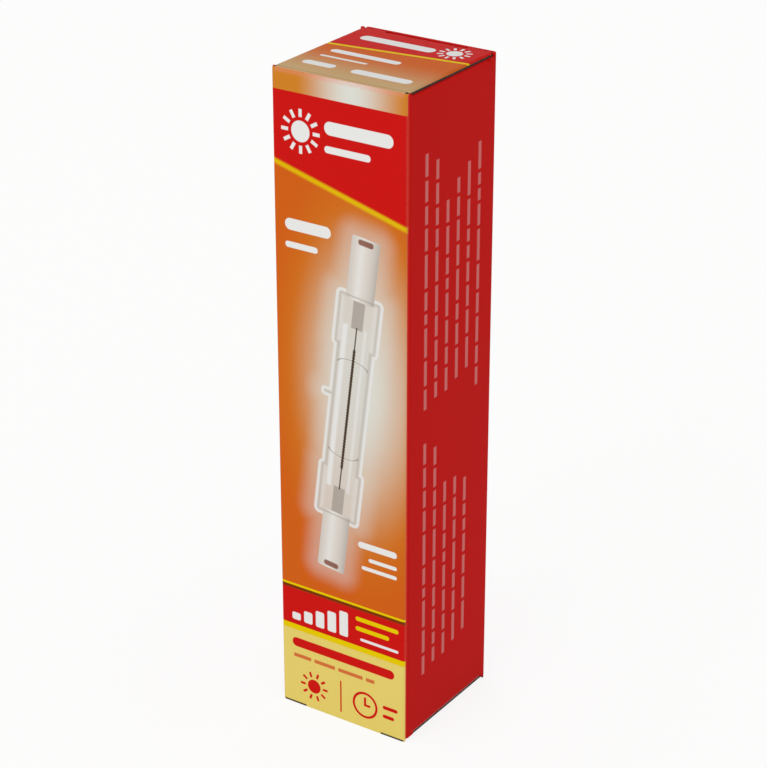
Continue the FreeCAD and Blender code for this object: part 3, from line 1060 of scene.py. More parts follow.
@dataclass(frozen=True)
class PrintLayout:
    """Where the print's fields end, in millimetres on the blank."""

    sizes: CardSizes
    top_strip: float = 3.0
    strip_glow_at: float = 2.0
    strip_glow_reach: float = 9.0
    header: float = 15.6
    header_slope: float = -0.26
    header_line: float = 0.35
    band_top: float = 19.6
    band_edge: float = 0.5
    band_line: float = 0.35
    band_base: float = 13.6
    foot: float = -1.0
    rule: float = 0.9
    glow: tuple[float, float] = (3.4, 55.0)
    glow_reach: tuple[float, float] = (11.5, 25.0)
    orange_ring: tuple[float, float] = (1.45, 0.55)
    glow_ring: tuple[float, float] = (1.1, 0.0)
    lid_red: float = 13.4
    lid_slope: float = 0.12
    lid_pale: float = 12.0
    lid_rule_at: float = 0.4
    lid_rule_half: float = 0.3
    bleed: float = 5.0
    # A painted shadow of the tuck slits along the foot, and paler bands at the crease and the folds that
    # are worn ink and painted highlight together.
    slit_shadow_height: float = 0.28
    wear_per_mm: float = 2.2
    crease_wear_and_highlight_at: float = 0.25
    crease_wear_and_highlight: float = 0.32
    fold_wear_and_highlight: float = 0.16

    def paint(self, plan: PrintPlan) -> None:
        """Paints every field and motif, from the ground up.

        Args:
            plan: the print's plan.
        """
        self._front_fields(plan)
        self._lid_fields(plan)
        for motif in self._motifs():
            motif.paint(plan)
        self._bare_flaps(plan)
        self._paint_fold_wear_highlights_and_slit_shadow(plan)

    def _front_fields(self, plan: PrintPlan) -> None:
        """Paints the front's orange field, band and foot, and the strip above its header.

        Args:
            plan: the print's plan.
        """
        size = self.sizes
        front = abs(plan.u) - size.half
        header_edge = plan.u * self.header_slope - plan.v + (size.height - self.header)
        shape = front.over(header_edge * -1).over(plan.v * -1 + self.band_top).inside()
        plan.paint(shape, Ink.DEEP_ORANGE)
        aside = (plan.u - self.glow[0]) / self.glow_reach[0]
        above = (plan.v - self.glow[1]) / self.glow_reach[1]
        away = radius_at(aside, above)
        plan.paint(away.ramp(*self.orange_ring) * shape, Ink.ORANGE)
        plan.paint(away.ramp(*self.glow_ring) * shape, Ink.GLOW)
        line = (abs(header_edge - self.header_line) - self.header_line).over(front)
        plan.paint(line.inside(soft=0.3), Ink.YELLOW, share=0.75)
        from_top = plan.v - size.height
        strip = front.over(from_top * -1 - self.top_strip).over(from_top).inside()
        plan.paint(strip, Ink.ORANGE)
        plan.paint(abs(plan.u - self.strip_glow_at).ramp(self.strip_glow_reach, 0.0) * strip, Ink.GLOW)
        line_base = self.band_top + self.band_edge
        rule_base = self.band_base - self.rule
        for low, high, ink in (
            (self.band_top, line_base, Ink.BROWN),
            (line_base, line_base + self.band_line, Ink.YELLOW),
            (rule_base, self.band_base, Ink.YELLOW),
            (self.foot, rule_base, Ink.CREAM),
        ):
            middle, reach = (low + high) / 2, (high - low) / 2
            plan.paint((abs(plan.v - middle) - reach).over(front).inside(), ink)

    def _lid_fields(self, plan: PrintPlan) -> None:
        """Paints the lid's orange front half, which pales towards the crease.

        Args:
            plan: the print's plan.
        """
        across = abs(plan.u) - self.sizes.half
        depth = plan.v - self.sizes.height
        past = depth - plan.u * self.lid_slope - self.lid_red
        lid = across.over(depth * -1).over(past).inside()
        plan.paint(lid, Ink.DEEP_ORANGE)
        plan.paint(depth.ramp(self.lid_pale, 0.0) * lid, Ink.TAN)
        rule = abs(past - self.lid_rule_at) - self.lid_rule_half
        plan.paint(rule.over(across).inside(), Ink.YELLOW)

    def _motifs(self) -> list[Bar | Sun | Clock | Levels | WordRows | LampPicture]:
        """The simple shapes on the front, the lid and the right side, in painting order.

        Returns:
            The shapes, each with the place of its middle or of its first corner.
        """
        top = self.sizes.height
        side = self.sizes.half
        return [
            Sun(-6.2, top - 8.3, 1.5, Ink.WHITE),
            Bar(3.2, top - 7.0, 11.0, 1.9, Ink.WHITE),
            Bar(1.4, top - 10.0, 7.4, 1.0, Ink.WHITE),
            Bar(-5.2, 76.6, 7.6, 1.7, Ink.WHITE),
            Bar(-6.3, 73.6, 5.4, 0.9, Ink.WHITE),
            LampPicture(1.2, 51.0, 7.0),
            Bar(6.1, 30.4, 6.6, 1.0, Ink.WHITE),
            Bar(7.0, 28.3, 4.8, 0.6, Ink.WHITE),
            Bar(6.4, 26.8, 6.0, 0.6, Ink.WHITE),
            Levels(-8.2, 14.4, 1.5, 2.1, 1.2, 0.72, 5, Ink.WHITE),
            Bar(6.0, 18.1, 7.4, 0.7, Ink.YELLOW),
            Bar(5.2, 16.5, 5.8, 0.7, Ink.YELLOW),
            Bar(6.4, 14.8, 6.6, 0.45, Ink.WHITE),
            Bar(0.0, 10.6, 18.0, 1.5, Ink.RED),
            WordRows(-8.6, 7.7, 16.0, 1, 1.3, 0.6, Ink.RED, strength=0.75),
            Sun(-5.2, 3.9, 1.15, Ink.RED, rays=10),
            Bar(-0.4, 3.9, 0.25, 5.4, Ink.RED),
            Clock(3.9, 3.9, 2.0, Ink.RED),
            Bar(8.3, 4.7, 2.6, 0.6, Ink.RED),
            Bar(8.0, 3.2, 2.0, 0.6, Ink.RED),
            Sun(6.6, top + 18.0, 1.15, Ink.WHITE),
            Bar(-2.2, top + 17.4, 12.0, 1.9, Ink.WHITE),
            Bar(-2.6, top + 10.2, 11.2, 1.3, Ink.WHITE),
            Bar(-4.4, top + 7.6, 7.6, 0.55, Ink.WHITE),
            Bar(-6.0, top + 4.2, 5.2, 1.5, Ink.WHITE),
            Bar(4.0, top + 4.2, 9.4, 1.7, Ink.WHITE),
            WordRows(side + 3.2, 52.0, 38.0, 6, 2.65, 0.7, Ink.PINK, upright=True),
            WordRows(side + 3.2, 9.5, 37.0, 5, 2.65, 0.7, Ink.PINK, upright=True),
        ]

    def _bare_flaps(self, plan: PrintPlan) -> None:
        """Leaves the hidden flaps bare past the print's bleed.

        Args:
            plan: the print's plan.
        """
        size = self.sizes
        past = abs(plan.v - size.height / 2) - (size.height / 2 + self.bleed)
        beside = abs(abs(plan.u) - size.pitch) - size.half
        dust = (past * -1).over(beside)
        tongue = past * -1 + size.pitch
        plan.paint(tongue.under(dust).inside(soft=0.3), Ink.BARE)

    def _paint_fold_wear_highlights_and_slit_shadow(self, plan: PrintPlan) -> None:
        """Pales the print a little at folds and creases, as worn ink and a painted highlight, and paints a
        dark painted shadow along the foot at the tuck slits.

        Args:
            plan: the print's plan.
        """
        size = self.sizes
        # Painted shadow: a dark band along the foot where the tuck slits open.
        from_slit = abs(plan.u) - (size.lid_half - size.slit / 2)
        foot = plate_at(from_slit, plan.v, size.slit / 2, self.slit_shadow_height)
        plan.paint(foot.inside(soft=0.06), Ink.WIRE)
        # Paler bands at the crease and the folds: worn, cracked ink and a painted highlight together.
        broken = plan.noise(self.wear_per_mm, detail=4.0).ramp(start=0.25, end=0.75, low=0.5, high=1.0)
        crease = abs(plan.v - size.crease_z - self.crease_wear_and_highlight_at) - self.crease_wear_and_highlight
        crease = crease.over(abs(plan.u) - size.fold_at)
        plan.paint(crease.inside(soft=0.22) * broken, Ink.FOLD_WEAR_AND_HIGHLIGHT, share=0.42)
        place = plan.u / size.pitch - 0.5
        fold = abs(place - place.math("ROUND")) * size.pitch - self.fold_wear_and_highlight
        plan.paint(fold.inside(soft=0.3) * broken, Ink.FOLD_WEAR_AND_HIGHLIGHT, share=0.22)


def new_material(name: str) -> tuple[bpy.types.Material, bpy.types.NodeTree, bpy.types.ShaderNode]:
    """A material with one principled shader.

    Args:
        name: the material's name.

    Returns:
        The material, its node tree and the shader.
    """
    material = bpy.data.materials.new(name)
    material.use_nodes = True
    tree = material.node_tree
    return material, tree, tree.nodes["Principled BSDF"]


def bump_with(shader: bpy.types.ShaderNode, height: Plot, depth: float) -> None:
    """Gives a shader a bump.

    Args:
        shader: the shader.
        height: the relief, from 0 to 1.
        depth: its depth, in metres.
    """
    bump = height.tree.nodes.new("ShaderNodeBump")
    feed(height.tree, bump.inputs["Distance"], depth)
    feed(height.tree, bump.inputs["Height"], height)
    feed(height.tree, shader.inputs["Normal"], bump.outputs[0])


def tone_with(shader: bpy.types.ShaderNode, noise: Plot, dark: str, pale: str) -> None:
    """Gives a shader an uneven colour.

    Args:
        shader: the shader.
        noise: where each tone lies.
        dark: the dark tone, as six hexadecimal digits.
        pale: the pale tone.
    """
    share = noise.ramp(NOISE_LOW, NOISE_HIGH)
    tone = colour_mix(noise.tree, share, linear(dark), linear(pale))
    feed(noise.tree, shader.inputs["Base Color"], tone)


@dataclass(frozen=True)
class PrintedCard:
    """The carton's outside: ink under a satin varnish."""

    layout: PrintLayout
    roughness: tuple[float, float] = (0.37, 0.48)
    specular: float = 0.02
    fine_per_mm: float = 5.0
    waves_per_mm: float = 0.06
    fine_share: float = 0.03
    wave_share: float = 0.6
    relief: float = 0.0001

    def material(self) -> bpy.types.Material:
        """The finish as a material.

        Returns:
            The material.
        """
        material, tree, shader = new_material("printed_card")
        plan = PrintPlan(tree, Ink.RED)
        self.layout.paint(plan)
        feed(tree, shader.inputs["Base Color"], plan.colour)
        feed(tree, shader.inputs["Specular IOR Level"], self.specular)
        fine = plan.noise(self.fine_per_mm, detail=3.0)
        feed(tree, shader.inputs["Roughness"], fine.ramp(NOISE_LOW, NOISE_HIGH, *self.roughness))
        waves = plan.noise(self.waves_per_mm, detail=1.0)
        bump_with(shader, waves * self.wave_share + fine * self.fine_share, self.relief)
        return material


@dataclass(frozen=True)
class PlainBoard:
    """Unprinted board, with fibres along its grain."""

    name: str
    pale: str
    dark: str
    grain: float = 6.0
    fibres_per_mm: float = 3.0
    roughness: float = 0.85
    specular: float = 0.2
    relief: float = 0.00003

    def material(self) -> bpy.types.Material:
        """The finish as a material.

        Returns:
            The material.
        """
        material, tree, shader = new_material(self.name)
        place = tree.nodes.new("ShaderNodeTexCoord")
        stretch = tree.nodes.new("ShaderNodeMapping")
        feed(tree, stretch.inputs["Scale"], (1 / MM, 1 / MM, 1 / MM / self.grain))
        feed(tree, stretch.inputs["Vector"], place.outputs["Object"])
        fibre = noise_at(tree, stretch.outputs[0], self.fibres_per_mm, detail=5.0)
        tone_with(shader, fibre, self.dark, self.pale)
        feed(tree, shader.inputs["Roughness"], self.roughness)
        feed(tree, shader.inputs["Specular IOR Level"], self.specular)
        bump_with(shader, fibre, self.relief)
        return material


@dataclass(frozen=True)
class HardFinish:
    """Quartz, ceramic or metal, a little uneven in tone and gloss."""

    name: str
    pale: str
    dark: str
    roughness: float
    metallic: float = 0.0
    clear: float = 0.0
    index: float = 1.5
    lumps_per_mm: float = 0.8
    smoothest: float = 0.8
    roughest: float = 1.25
    relief: float = 0.00001

    def material(self) -> bpy.types.Material:
        """The finish as a material.

        Returns:
            The material.
        """
        material, tree, shader = new_material(self.name)
        place = tree.nodes.new("ShaderNodeTexCoord")
        cloud = noise_at(tree, place.outputs["Object"], self.lumps_per_mm / MM, detail=4.0)
        tone_with(shader, cloud, self.dark, self.pale)
        low, high = self.roughness * self.smoothest, self.roughness * self.roughest
        feed(tree, shader.inputs["Roughness"], cloud.ramp(NOISE_LOW, NOISE_HIGH, low, high))
        feed(tree, shader.inputs["Metallic"], self.metallic)
        feed(tree, shader.inputs["Transmission Weight"], self.clear)
        feed(tree, shader.inputs["IOR"], self.index)
        bump_with(shader, cloud, self.relief)
        return material


@dataclass
class CardFinishes:
    """The three finishes of a card piece, in the order of its skins."""

    layout: PrintLayout
    materials: list[bpy.types.Material] = field(init=False)

    def __post_init__(self) -> None:
        """Makes the materials once, for every card piece."""
        self.materials = [
            PrintedCard(self.layout).material(),
            PlainBoard("inside_board", "D8D3C8", "BFB8AB").material(),
            # Grey-brown board core at the cut edges, darkened further as painted shade so the gaps beside
            # the lids read dark.
            PlainBoard("cut_edge_with_painted_shade", "4A4139", "2A2521", grain=1.0).material(),
        ]

    def dress(self, piece: bpy.types.Object) -> None:
        """Gives a card piece its finishes."""
        for material in self.materials:
            piece.data.materials.append(material)


@dataclass
class CartonBody:
    """The folded and side-glued blank: four panels, a glue flap, four dust flaps and two creases."""

    sizes: CardSizes
    finishes: CardFinishes
    fold_steps: int = 12
    panel_steps: int = 10
    support: float = 0.2
    crease_end: float = 60.0
    crease_steps: int = 10
    first_row: float = 3.0
    glue_steps: int = 3
    flap_steps: int = 10
    flap_corner_steps: int = 6
    flap_support: float = 6.5

    def build(self) -> bpy.types.Object:
        """The folded blank, dressed and riding on the carton's body.

        Returns:
            The piece.
        """
        sheet = CardSheet("printed_carton")
        self._panels(sheet)
        self._glue_flap(sheet)
        for end in End:
            self._crease(sheet, end)
            self._crease_corner(sheet, end, 1)
            if end is End.TOP:
                self._crease_corner(sheet, end, -1)
            for panel in (Panel.LEFT, Panel.RIGHT):
                self._dust_flap(sheet, end, panel)
        piece = sheet.build(self._edge_skin, self.sizes.crease_z - self.sizes.seam_gap)
        self.finishes.dress(piece)
        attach(piece, "carton")
        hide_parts("carton_body")
        return piece

    def _edge_skin(self, one: Spot, other: Spot) -> Skin:
        """The skin of an edge: ink runs over the ones that face up or down, and over small upright steps.

        Args:
            one: the edge's first point.
            other: its second point.

        Returns:
            The skin.
        """
        size = self.sizes
        if max(one.blank[0], other.blank[0]) < self._seam + size.seam_gap:
            return Skin.SEAM
        facing = (other.outer - one.outer).cross(one.inner - one.outer).normalized()
        if abs(facing.z) > math.cos(QUARTER / 2):
            return Skin.INKED
        near = size.fold_at - size.seam_gap
        upright = abs(one.blank[0] - other.blank[0]) < size.seam_gap
        on_side = min(abs(one.outer.x), abs(other.outer.x)) > near and one.blank[0] < self._back_end
        at_crease = abs(one.outer.y) > near and one.outer.y * (one.outer.z - size.height / 2) < 0
        return Skin.INKED if upright and on_side and not at_crease else Skin.CUT

    def _wall(self, u: float, v: float) -> Spot:
        """A point of the tube.

        Args:
            u: its place round the blank.
            v: its height.

        Returns:
            The point.
        """
        size = self.sizes
        panel, along = size.on_panel(u)
        past = abs(along) - size.fold_at
        if past <= 0 or u < self._seam + size.fold:
            place = panel.outward * size.half + panel.rightward * along
            facing = panel.outward
        else:
            turn = past / size.fold * QUARTER / 2
            sideways = panel.rightward * math.copysign(1, along)
            facing = panel.outward * math.cos(turn) + sideways * math.sin(turn)
            place = (panel.outward + sideways) * size.fold_at + facing * size.fold
        place.z = v
        return Spot(place, place - facing * size.card, (u, v))

    @property
    def _seam(self) -> float:
        """Where the card starts on the blank: the left panel's cut edge at the seam."""
        return self.sizes.blank_start + self.sizes.seam_setback

    @property
    def _back_end(self) -> float:
        """Where the back panel starts to fold into the glue flap."""
        return self.sizes.blank_end - self.sizes.card - self.sizes.seam_gap - self.sizes.fold

    def _columns(self) -> list[float]:
        """Every u at which the tube has a column of points.

        Returns:
            The columns, from the seam to the glue flap.
        """
        size = self.sizes
        marks = {
            Panel.LEFT: (size.flap_rear, -size.flap_front),
            Panel.FRONT: (size.lid_half - size.slit,),
            Panel.RIGHT: (size.flap_rear, -size.flap_front),
            Panel.BACK: (),
        }
        columns = {self._seam, self._back_end}
        for panel, extra in marks.items():
            middle = panel.count * size.pitch
            flat = steps(-size.fold_at, size.fold_at, self.panel_steps)
            near = [size.fold_at - self.support, self.support - size.fold_at]
            columns.update(middle + along for along in flat + near)
            columns.update(middle + side * mark for mark in extra for side in (-1, 1))
            if panel is not Panel.BACK:
                fold = steps(size.fold_at, size.half + size.fold, self.fold_steps)
                columns.update(middle + along for along in fold)
        kept = sorted(u for u in columns if self._seam <= u <= self._back_end)
        return [u for i, u in enumerate(kept) if i == 0 or u - kept[i - 1] > size.seam_gap / 2]

    def _rows(self) -> list[float]:
        """Every v at which the tube has a row of points.

        Returns:
            The rows, from the base to the top.
        """
        size = self.sizes
        low = [0.0, size.crease, size.flap_cut, size.flap_cut + self.support, size.glue_flap_setback]
        middle = steps(self.first_row, size.height - self.first_row, 2 * self.panel_steps)
        return sorted(set(low + middle + [size.height - v for v in low]))

    def _cut_back(self, u: float, end: End) -> float:
        """How far the tube's end is cut back at a place on the blank.

        Args:
            u: the place on the blank.
            end: the carton's end.

        Returns:
            The distance from the full height.
        """
        size = self.sizes
        panel, along = size.on_panel(u)
        beside = Panel.numbered(panel.count + int(math.copysign(1, along)))
        if end is End.TOP and abs(along) >= size.fold_at:
            return size.crease if end.creased in (panel, beside) else 0.0
        if panel in (Panel.LEFT, Panel.RIGHT):
            y = along * panel.count * (1 if end is End.TOP else -1)
            return size.flap_cut if size.flap_front < y < size.flap_rear else size.crease
        return size.crease if panel is end.creased else 0.0

    def _reaches(self, u: float, v: float) -> bool:
        """Whether the tube has card at a place on the blank."""
        return self._cut_back(u, End.BOTTOM) < v < self.sizes.height - self._cut_back(u, End.TOP)

    def _panels(self, sheet: CardSheet) -> None:
        """Adds the four panels and the folds between them.

        Args:
            sheet: the sheet to add to.
        """
        columns, rows = self._columns(), self._rows()
        across, up = [[(a + b) / 2 for a, b in zip(line, line[1:])] for line in (columns, rows)]
        kept = [[self._reaches(u, v) for u in across] for v in up]
        sheet.add([[self._wall(u, v) for u in columns] for v in rows], kept)

    def _glue_flap(self, sheet: CardSheet) -> None:
        """Adds the flap that the back panel goes on into, inside the left panel.

        Args:
            sheet: the sheet to add to.
        """
        size = self.sizes
        seam_x = size.card + size.seam_gap - size.half
        centre = Vector((seam_x + size.fold, size.fold_at, 0))
        setback = size.glue_flap_setback
        middle = size.height / 2
        fold_steps = self.fold_steps // 2
        stations = []
        for turn in steps(0.0, QUARTER, fold_steps):
            facing = Vector((-math.sin(turn), math.cos(turn), 0))
            stations.append((centre + facing * size.fold, facing, turn * size.fold, 1.0))
        for share in steps(0.0, 1.0, self.glue_steps)[1:]:
            reach = share * size.glue_flap_reach
            shrink = 1 - share * size.glue_flap_taper / (middle - setback)
            place = Vector((seam_x, size.fold_at - reach, 0))
            stations.append((place, Panel.LEFT.outward, QUARTER * size.fold + reach, shrink))
        heights = [v for v in self._rows() if v >= size.crease]
        rows = []
        for v in heights:
            row = []
            for place, facing, along, shrink in stations:
                height = middle + (v - middle) * shrink
                outer = Vector((place.x, place.y, height))
                row.append(Spot(outer, outer - facing * size.card, (self._back_end + along, height)))
            rows.append(row)
        kept = []
        for low, high in zip(heights, heights[1:]):
            within = setback <= low and high <= size.height - setback
            kept.append([within or j < fold_steps // 2 for j in range(len(stations) - 1)])
        sheet.add(rows, kept)

    def _crease(self, sheet: CardSheet, end: End) -> None:
        """Adds the round crease that a lid turns on.

        Args:
            sheet: the sheet to add to.
            end: the carton's end.
        """
        size = self.sizes
        middle = end.creased.count * size.pitch
        flat = [u - middle for u in self._columns() if abs(u - middle) <= size.fold_at + TINY]
        across = flat if end is End.TOP else [-x for x in reversed(flat)]
        rows = []
        for angle in steps(math.pi, math.radians(self.crease_end), self.crease_steps):
            out = Vector((0, math.cos(angle), math.sin(angle)))
            v = size.crease_z + (math.pi - angle) * size.crease
            row = []
            for x in across:
                centre = Vector((x, size.crease_y, size.crease_z))
                outer = centre + out * size.crease
                row.append(Spot(outer, centre + out * (size.crease - size.card), (x, v)))
            rows.append(row)
        sheet.add(at_end(rows, end, size))

    def _crease_corner(self, sheet: CardSheet, end: End, side: int) -> None:
        """Adds the round end of a crease, where it runs out over a fold between two panels.

        Args:
            sheet: the sheet to add to.
            end: the carton's end.
            side: -1 for the left fold, 1 for the right one.
        """
        size = self.sizes
        turns = steps(0.0, QUARTER, self.fold_steps)[::side]
        lifts = steps(0.0, math.pi - math.radians(self.crease_end), self.crease_steps)
        rows = []
        for lift in lifts[:self.crease_steps // 2 + 1]:
            reach = size.fold - size.crease * (1 - math.cos(lift))
            row = []
            for turn in turns:
                sine, cosine = math.sin(turn), math.cos(turn)
                outer = Vector((
                    side * (size.fold_at + size.fold * sine),
                    -size.fold_at - reach * cosine,
                    size.crease_z + size.crease * math.sin(lift),
                ))
                facing = Vector((
                    side * reach * sine * math.cos(lift),
                    -size.fold * cosine * math.cos(lift),
                    size.fold * cosine**2 * math.sin(lift),
                )).normalized()
                u = side * (size.fold_at + turn / QUARTER * 2 * size.fold)
                row.append(Spot(outer, outer - facing * size.card, (u, size.crease_z + lift * size.crease)))
            rows.append(row)
        sheet.add(at_end(rows, end, size))

    def _dust_flap(self, sheet: CardSheet, end: End, panel: Panel) -> None:
        """Adds a dust flap, folded in from the end of a side panel.

        Args:
            sheet: the sheet to add to.
            end: the carton's end.
            panel: the side panel.
        """
        size = self.sizes
        side = panel.count
        columns = [side * u - size.pitch for u in self._columns()]
        if end is End.BOTTOM:
            columns = [-y for y in columns]
        ys = sorted(y for y in columns if size.flap_front - TINY <= y <= size.flap_rear + TINY)
        shares = [(y - size.flap_front) / (size.flap_rear - size.flap_front) for y in ys]
        if side < 0:
            shares.reverse()
        base = size.flap_top - size.fold
        stations = []
        for turn in steps(0.0, QUARTER, self.flap_steps):
            out = Vector((side * math.cos(turn), 0, math.sin(turn)))
            place = Vector((side * size.fold_at, 0, base)) + out * size.fold
            stations.append((place, out, turn * size.fold))
        turns = steps(0.0, QUARTER, self.flap_corner_steps)
        flat = [size.flap_reach + size.flap_corner * (1 - math.cos(turn)) for turn in turns]
        flat += [size.fold_at - self.support, size.half - size.flap_step, self.flap_support]
        for x in sorted(flat, reverse=True):
            travel = QUARTER * size.fold + size.fold_at - x
            stations.append((Vector((side * x, 0, size.flap_top)), Vector((0, 0, 1)), travel))
        rows = []
        for place, out, travel in stations:
            front, rear = self._flap_edges(abs(place.x))
            row = []
            for share in shares:
                outer = Vector((place.x, front + share * (rear - front), place.z))
                u = side * (size.pitch + outer.y)
                row.append(Spot(outer, outer - out * size.card, (u, base + travel)))
            rows.append(row)
        sheet.add(at_end(rows, end, size))

    def _flap_edges(self, x: float) -> tuple[float, float]:
        """The front and rear edge of a dust flap at a distance from the carton's middle plane.

        Args:
            x: the distance.

        Returns:
            Both places from front to back.
        """
        size = self.sizes
        start = size.half - size.flap_step
        centre_x = size.flap_reach + size.flap_corner
        edges = []
        for base, taper, inward in (
            (size.flap_front, size.flap_front_taper, 1),
            (size.flap_rear, size.flap_step, -1),
        ):
            slope = taper / (start - size.flap_reach)
            tilt = math.atan(slope)
            edge = base + inward * max(0.0, start - x) * slope
            if x < centre_x - size.flap_corner * math.sin(tilt):
                centre = base + inward * ((start - centre_x) * slope + size.flap_corner / math.cos(tilt))
                edge = centre - inward * math.sqrt(max(0.0, size.flap_corner**2 - (x - centre_x) ** 2))
            edges.append(edge)
        return edges[0], edges[1]


@dataclass
class TuckLid:
    """A lid: the end panel with its rear corners, and the tuck tongue folded from its rear edge."""

    end: End
    sizes: CardSizes
    finishes: CardFinishes
    columns: int = 8
    rows: int = 10
    bend_steps: int = 12
    corner_steps: int = 8
    tongue_steps: int = 3
    first_row: float = 2.0
    support: float = 0.2

    def build(self) -> bpy.types.Object:
        """The lid, dressed and riding on its own body.

        Returns:
            The piece.
        """
        sheet = CardSheet(f"printed_{self.end.lid}")
        for rows in (self._panel(), self._corner(-1), self._corner(1), self._bend(), self._tongue()):
            sheet.add(at_end(rows, self.end, self.sizes))
        piece = sheet.build(self._edge_skin)
        self.finishes.dress(piece)
        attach(piece, self.end.lid)
        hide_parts(self.end.lid)
        return piece

    def _edge_skin(self, one: Spot, other: Spot) -> Skin:
        """The skin of an edge: the one at the crease isn't cut.

        Args:
            one: the edge's first point.
            other: its second point.

        Returns:
            The skin.
        """
        middle = self.sizes.height / 2
        past = max(abs(spot.blank[1] - middle) for spot in (one, other)) - middle
        return Skin.FOLDED if past < 2 * self.sizes.crease else Skin.CUT

    @property
    def _slit(self) -> float:
        """Half of the tongue fold's width, between the slits."""
        return self.sizes.lid_half - self.sizes.slit

    @property
    def _lean(self) -> float:
        """How far the tongue leans in from upright, in radians."""
        return math.atan2(self.sizes.tongue_lean_in, self.sizes.tongue_drop)

    @property
    def _bend_reach(self) -> float:
        """How far the tongue's bend reaches from the corner of its two flat sides."""
        return self.sizes.tuck_fold * math.tan((QUARTER + self._lean) / 2)

    def _across(self) -> list[float]:
        """Every x at which the panel has a column of points.

        Returns:
            The columns, from left to right.
        """
        size = self.sizes
        inner = steps(-self._slit, self._slit, self.columns)
        insets = (size.tongue_inset, size.lid_corner, size.edge_round, 0)
        outer = [size.lid_half - inset for inset in insets]
        return sorted([*inner, *outer, *[-x for x in outer]])

    def _flat(self, x: float, y: float, inner_y: float | None = None, drop: float = 0.0) -> Spot:
        """A point of the flat panel.

        Args:
            x: its place across.
            y: its place from front to back.
            inner_y: that place on the inner skin, where it differs.
            drop: how far the outer skin is rounded down there.

        Returns:
            The point.
        """
        size = self.sizes
        inner = Vector((x, y if inner_y is None else inner_y, size.height - size.card))
        return Spot(Vector((x, y, size.height - drop)), inner, (x, size.height + y + size.half))

    def _drop(self, x: float) -> float:
        """How far the outer skin is rounded down at a column of the panel."""
        return self.sizes.edge_round if abs(x) > self.sizes.lid_half - TINY else 0.0

    def _panel(self) -> list[list[Spot]]:
        """The flat panel, from the hollow edge round the crease to the tongue's bend.

        Returns:
            Rows of points.
        """
        size = self.sizes
        clear = size.crease + size.hinge_gap
        start = size.crease_y + math.sqrt(clear**2 - size.crease**2)
        inner_start = size.crease_y + size.crease_bevel
        end = size.lid_rear - self._bend_reach
        middle = steps(self.first_row - size.fold_at, end - self.support, self.rows)
        across = [(x, self._drop(x)) for x in self._across()]
        rows = [[self._flat(x, start, inner_start, drop) for x, drop in across]]
        for y in (inner_start + self.support, *middle, end):
            rows.append([self._flat(x, y, drop=drop) for x, drop in across])
        return rows

    def _corner(self, side: int) -> list[list[Spot]]:
        """The flat rear corner beside the tongue's bend.

        Args:
            side: -1 for the left corner, 1 for the right one.

        Returns:
            Rows of points.
        """
        size = self.sizes
        slit = self._slit
        straight = size.lid_rear - size.lid_corner
        columns = [x for x in self._across() if x >= slit - TINY][::side]
        rows = []
        for y in (
            size.lid_rear - self._bend_reach,
            straight,
            *round_steps(straight, size.lid_corner, self.corner_steps),
        ):
            edge = rounded_half(size.lid_half, size.lid_corner, y - straight)
            share = (edge - slit) / (size.lid_half - slit)
            places = [(side * (slit + (x - slit) * share), self._drop(x)) for x in columns]
            rows.append([self._flat(x, y, drop=drop) for x, drop in places])
        return rows

    def _bend(self) -> list[list[Spot]]:
        """The bend between the panel and the tongue, as wide as the room between the slits.

        Returns:
            Rows of points.
        """
        size = self.sizes
        centre_y, centre_z = size.lid_rear - self._bend_reach, size.height - size.tuck_fold
        xs = [x for x in self._across() if abs(x) <= self._slit + TINY]
        rows = []
        for turn in steps(0.0, QUARTER + self._lean, self.bend_steps):
            out = Vector((0, math.sin(turn), math.cos(turn)))
            travel = size.height + centre_y + size.half + turn * size.tuck_fold
            row = []
            for x in xs:
                centre = Vector((x, centre_y, centre_z))
                inner = centre + out * (size.tuck_fold - size.card)
                row.append(Spot(centre + out * size.tuck_fold, inner, (x, travel)))
            rows.append(row)
        rows.append([self._on_tongue(x, size.tongue_shoulder) for x in xs])
        return rows

    def _on_tongue(self, x: float, down: float) -> Spot:
        """A point of the flat tongue.

        Args:
            x: its place across.
            down: its distance from the tongue's fold.

        Returns:
            The point.
        """
        size = self.sizes
        sine, cosine = math.sin(self._lean), math.cos(self._lean)
        outer = Vector((x, size.lid_rear - down * sine, size.height - down * cosine))
        inner = outer - Vector((0, cosine, -sine)) * size.card
        return Spot(outer, inner, (x, size.height + size.lid_rear + size.half + down))

    def _tongue(self) -> list[list[Spot]]:
        """The tongue, with its two round corners.

        Returns:
            Rows of points.
        """
        size = self.sizes
        straight = math.hypot(size.tongue_lean_in, size.tongue_drop) - size.tongue_corner
        half = size.lid_half - size.tongue_inset
        base = [x for x in self._across() if abs(x) <= half + TINY]
        rows = []
        for down in (
            *steps(size.tongue_shoulder, straight, self.tongue_steps),
            *round_steps(straight, size.tongue_corner, 2 * self.corner_steps),
        ):
            share = rounded_half(half, size.tongue_corner, down - straight) / half
            rows.append([self._on_tongue(x * share, down) for x in base])
        return rows


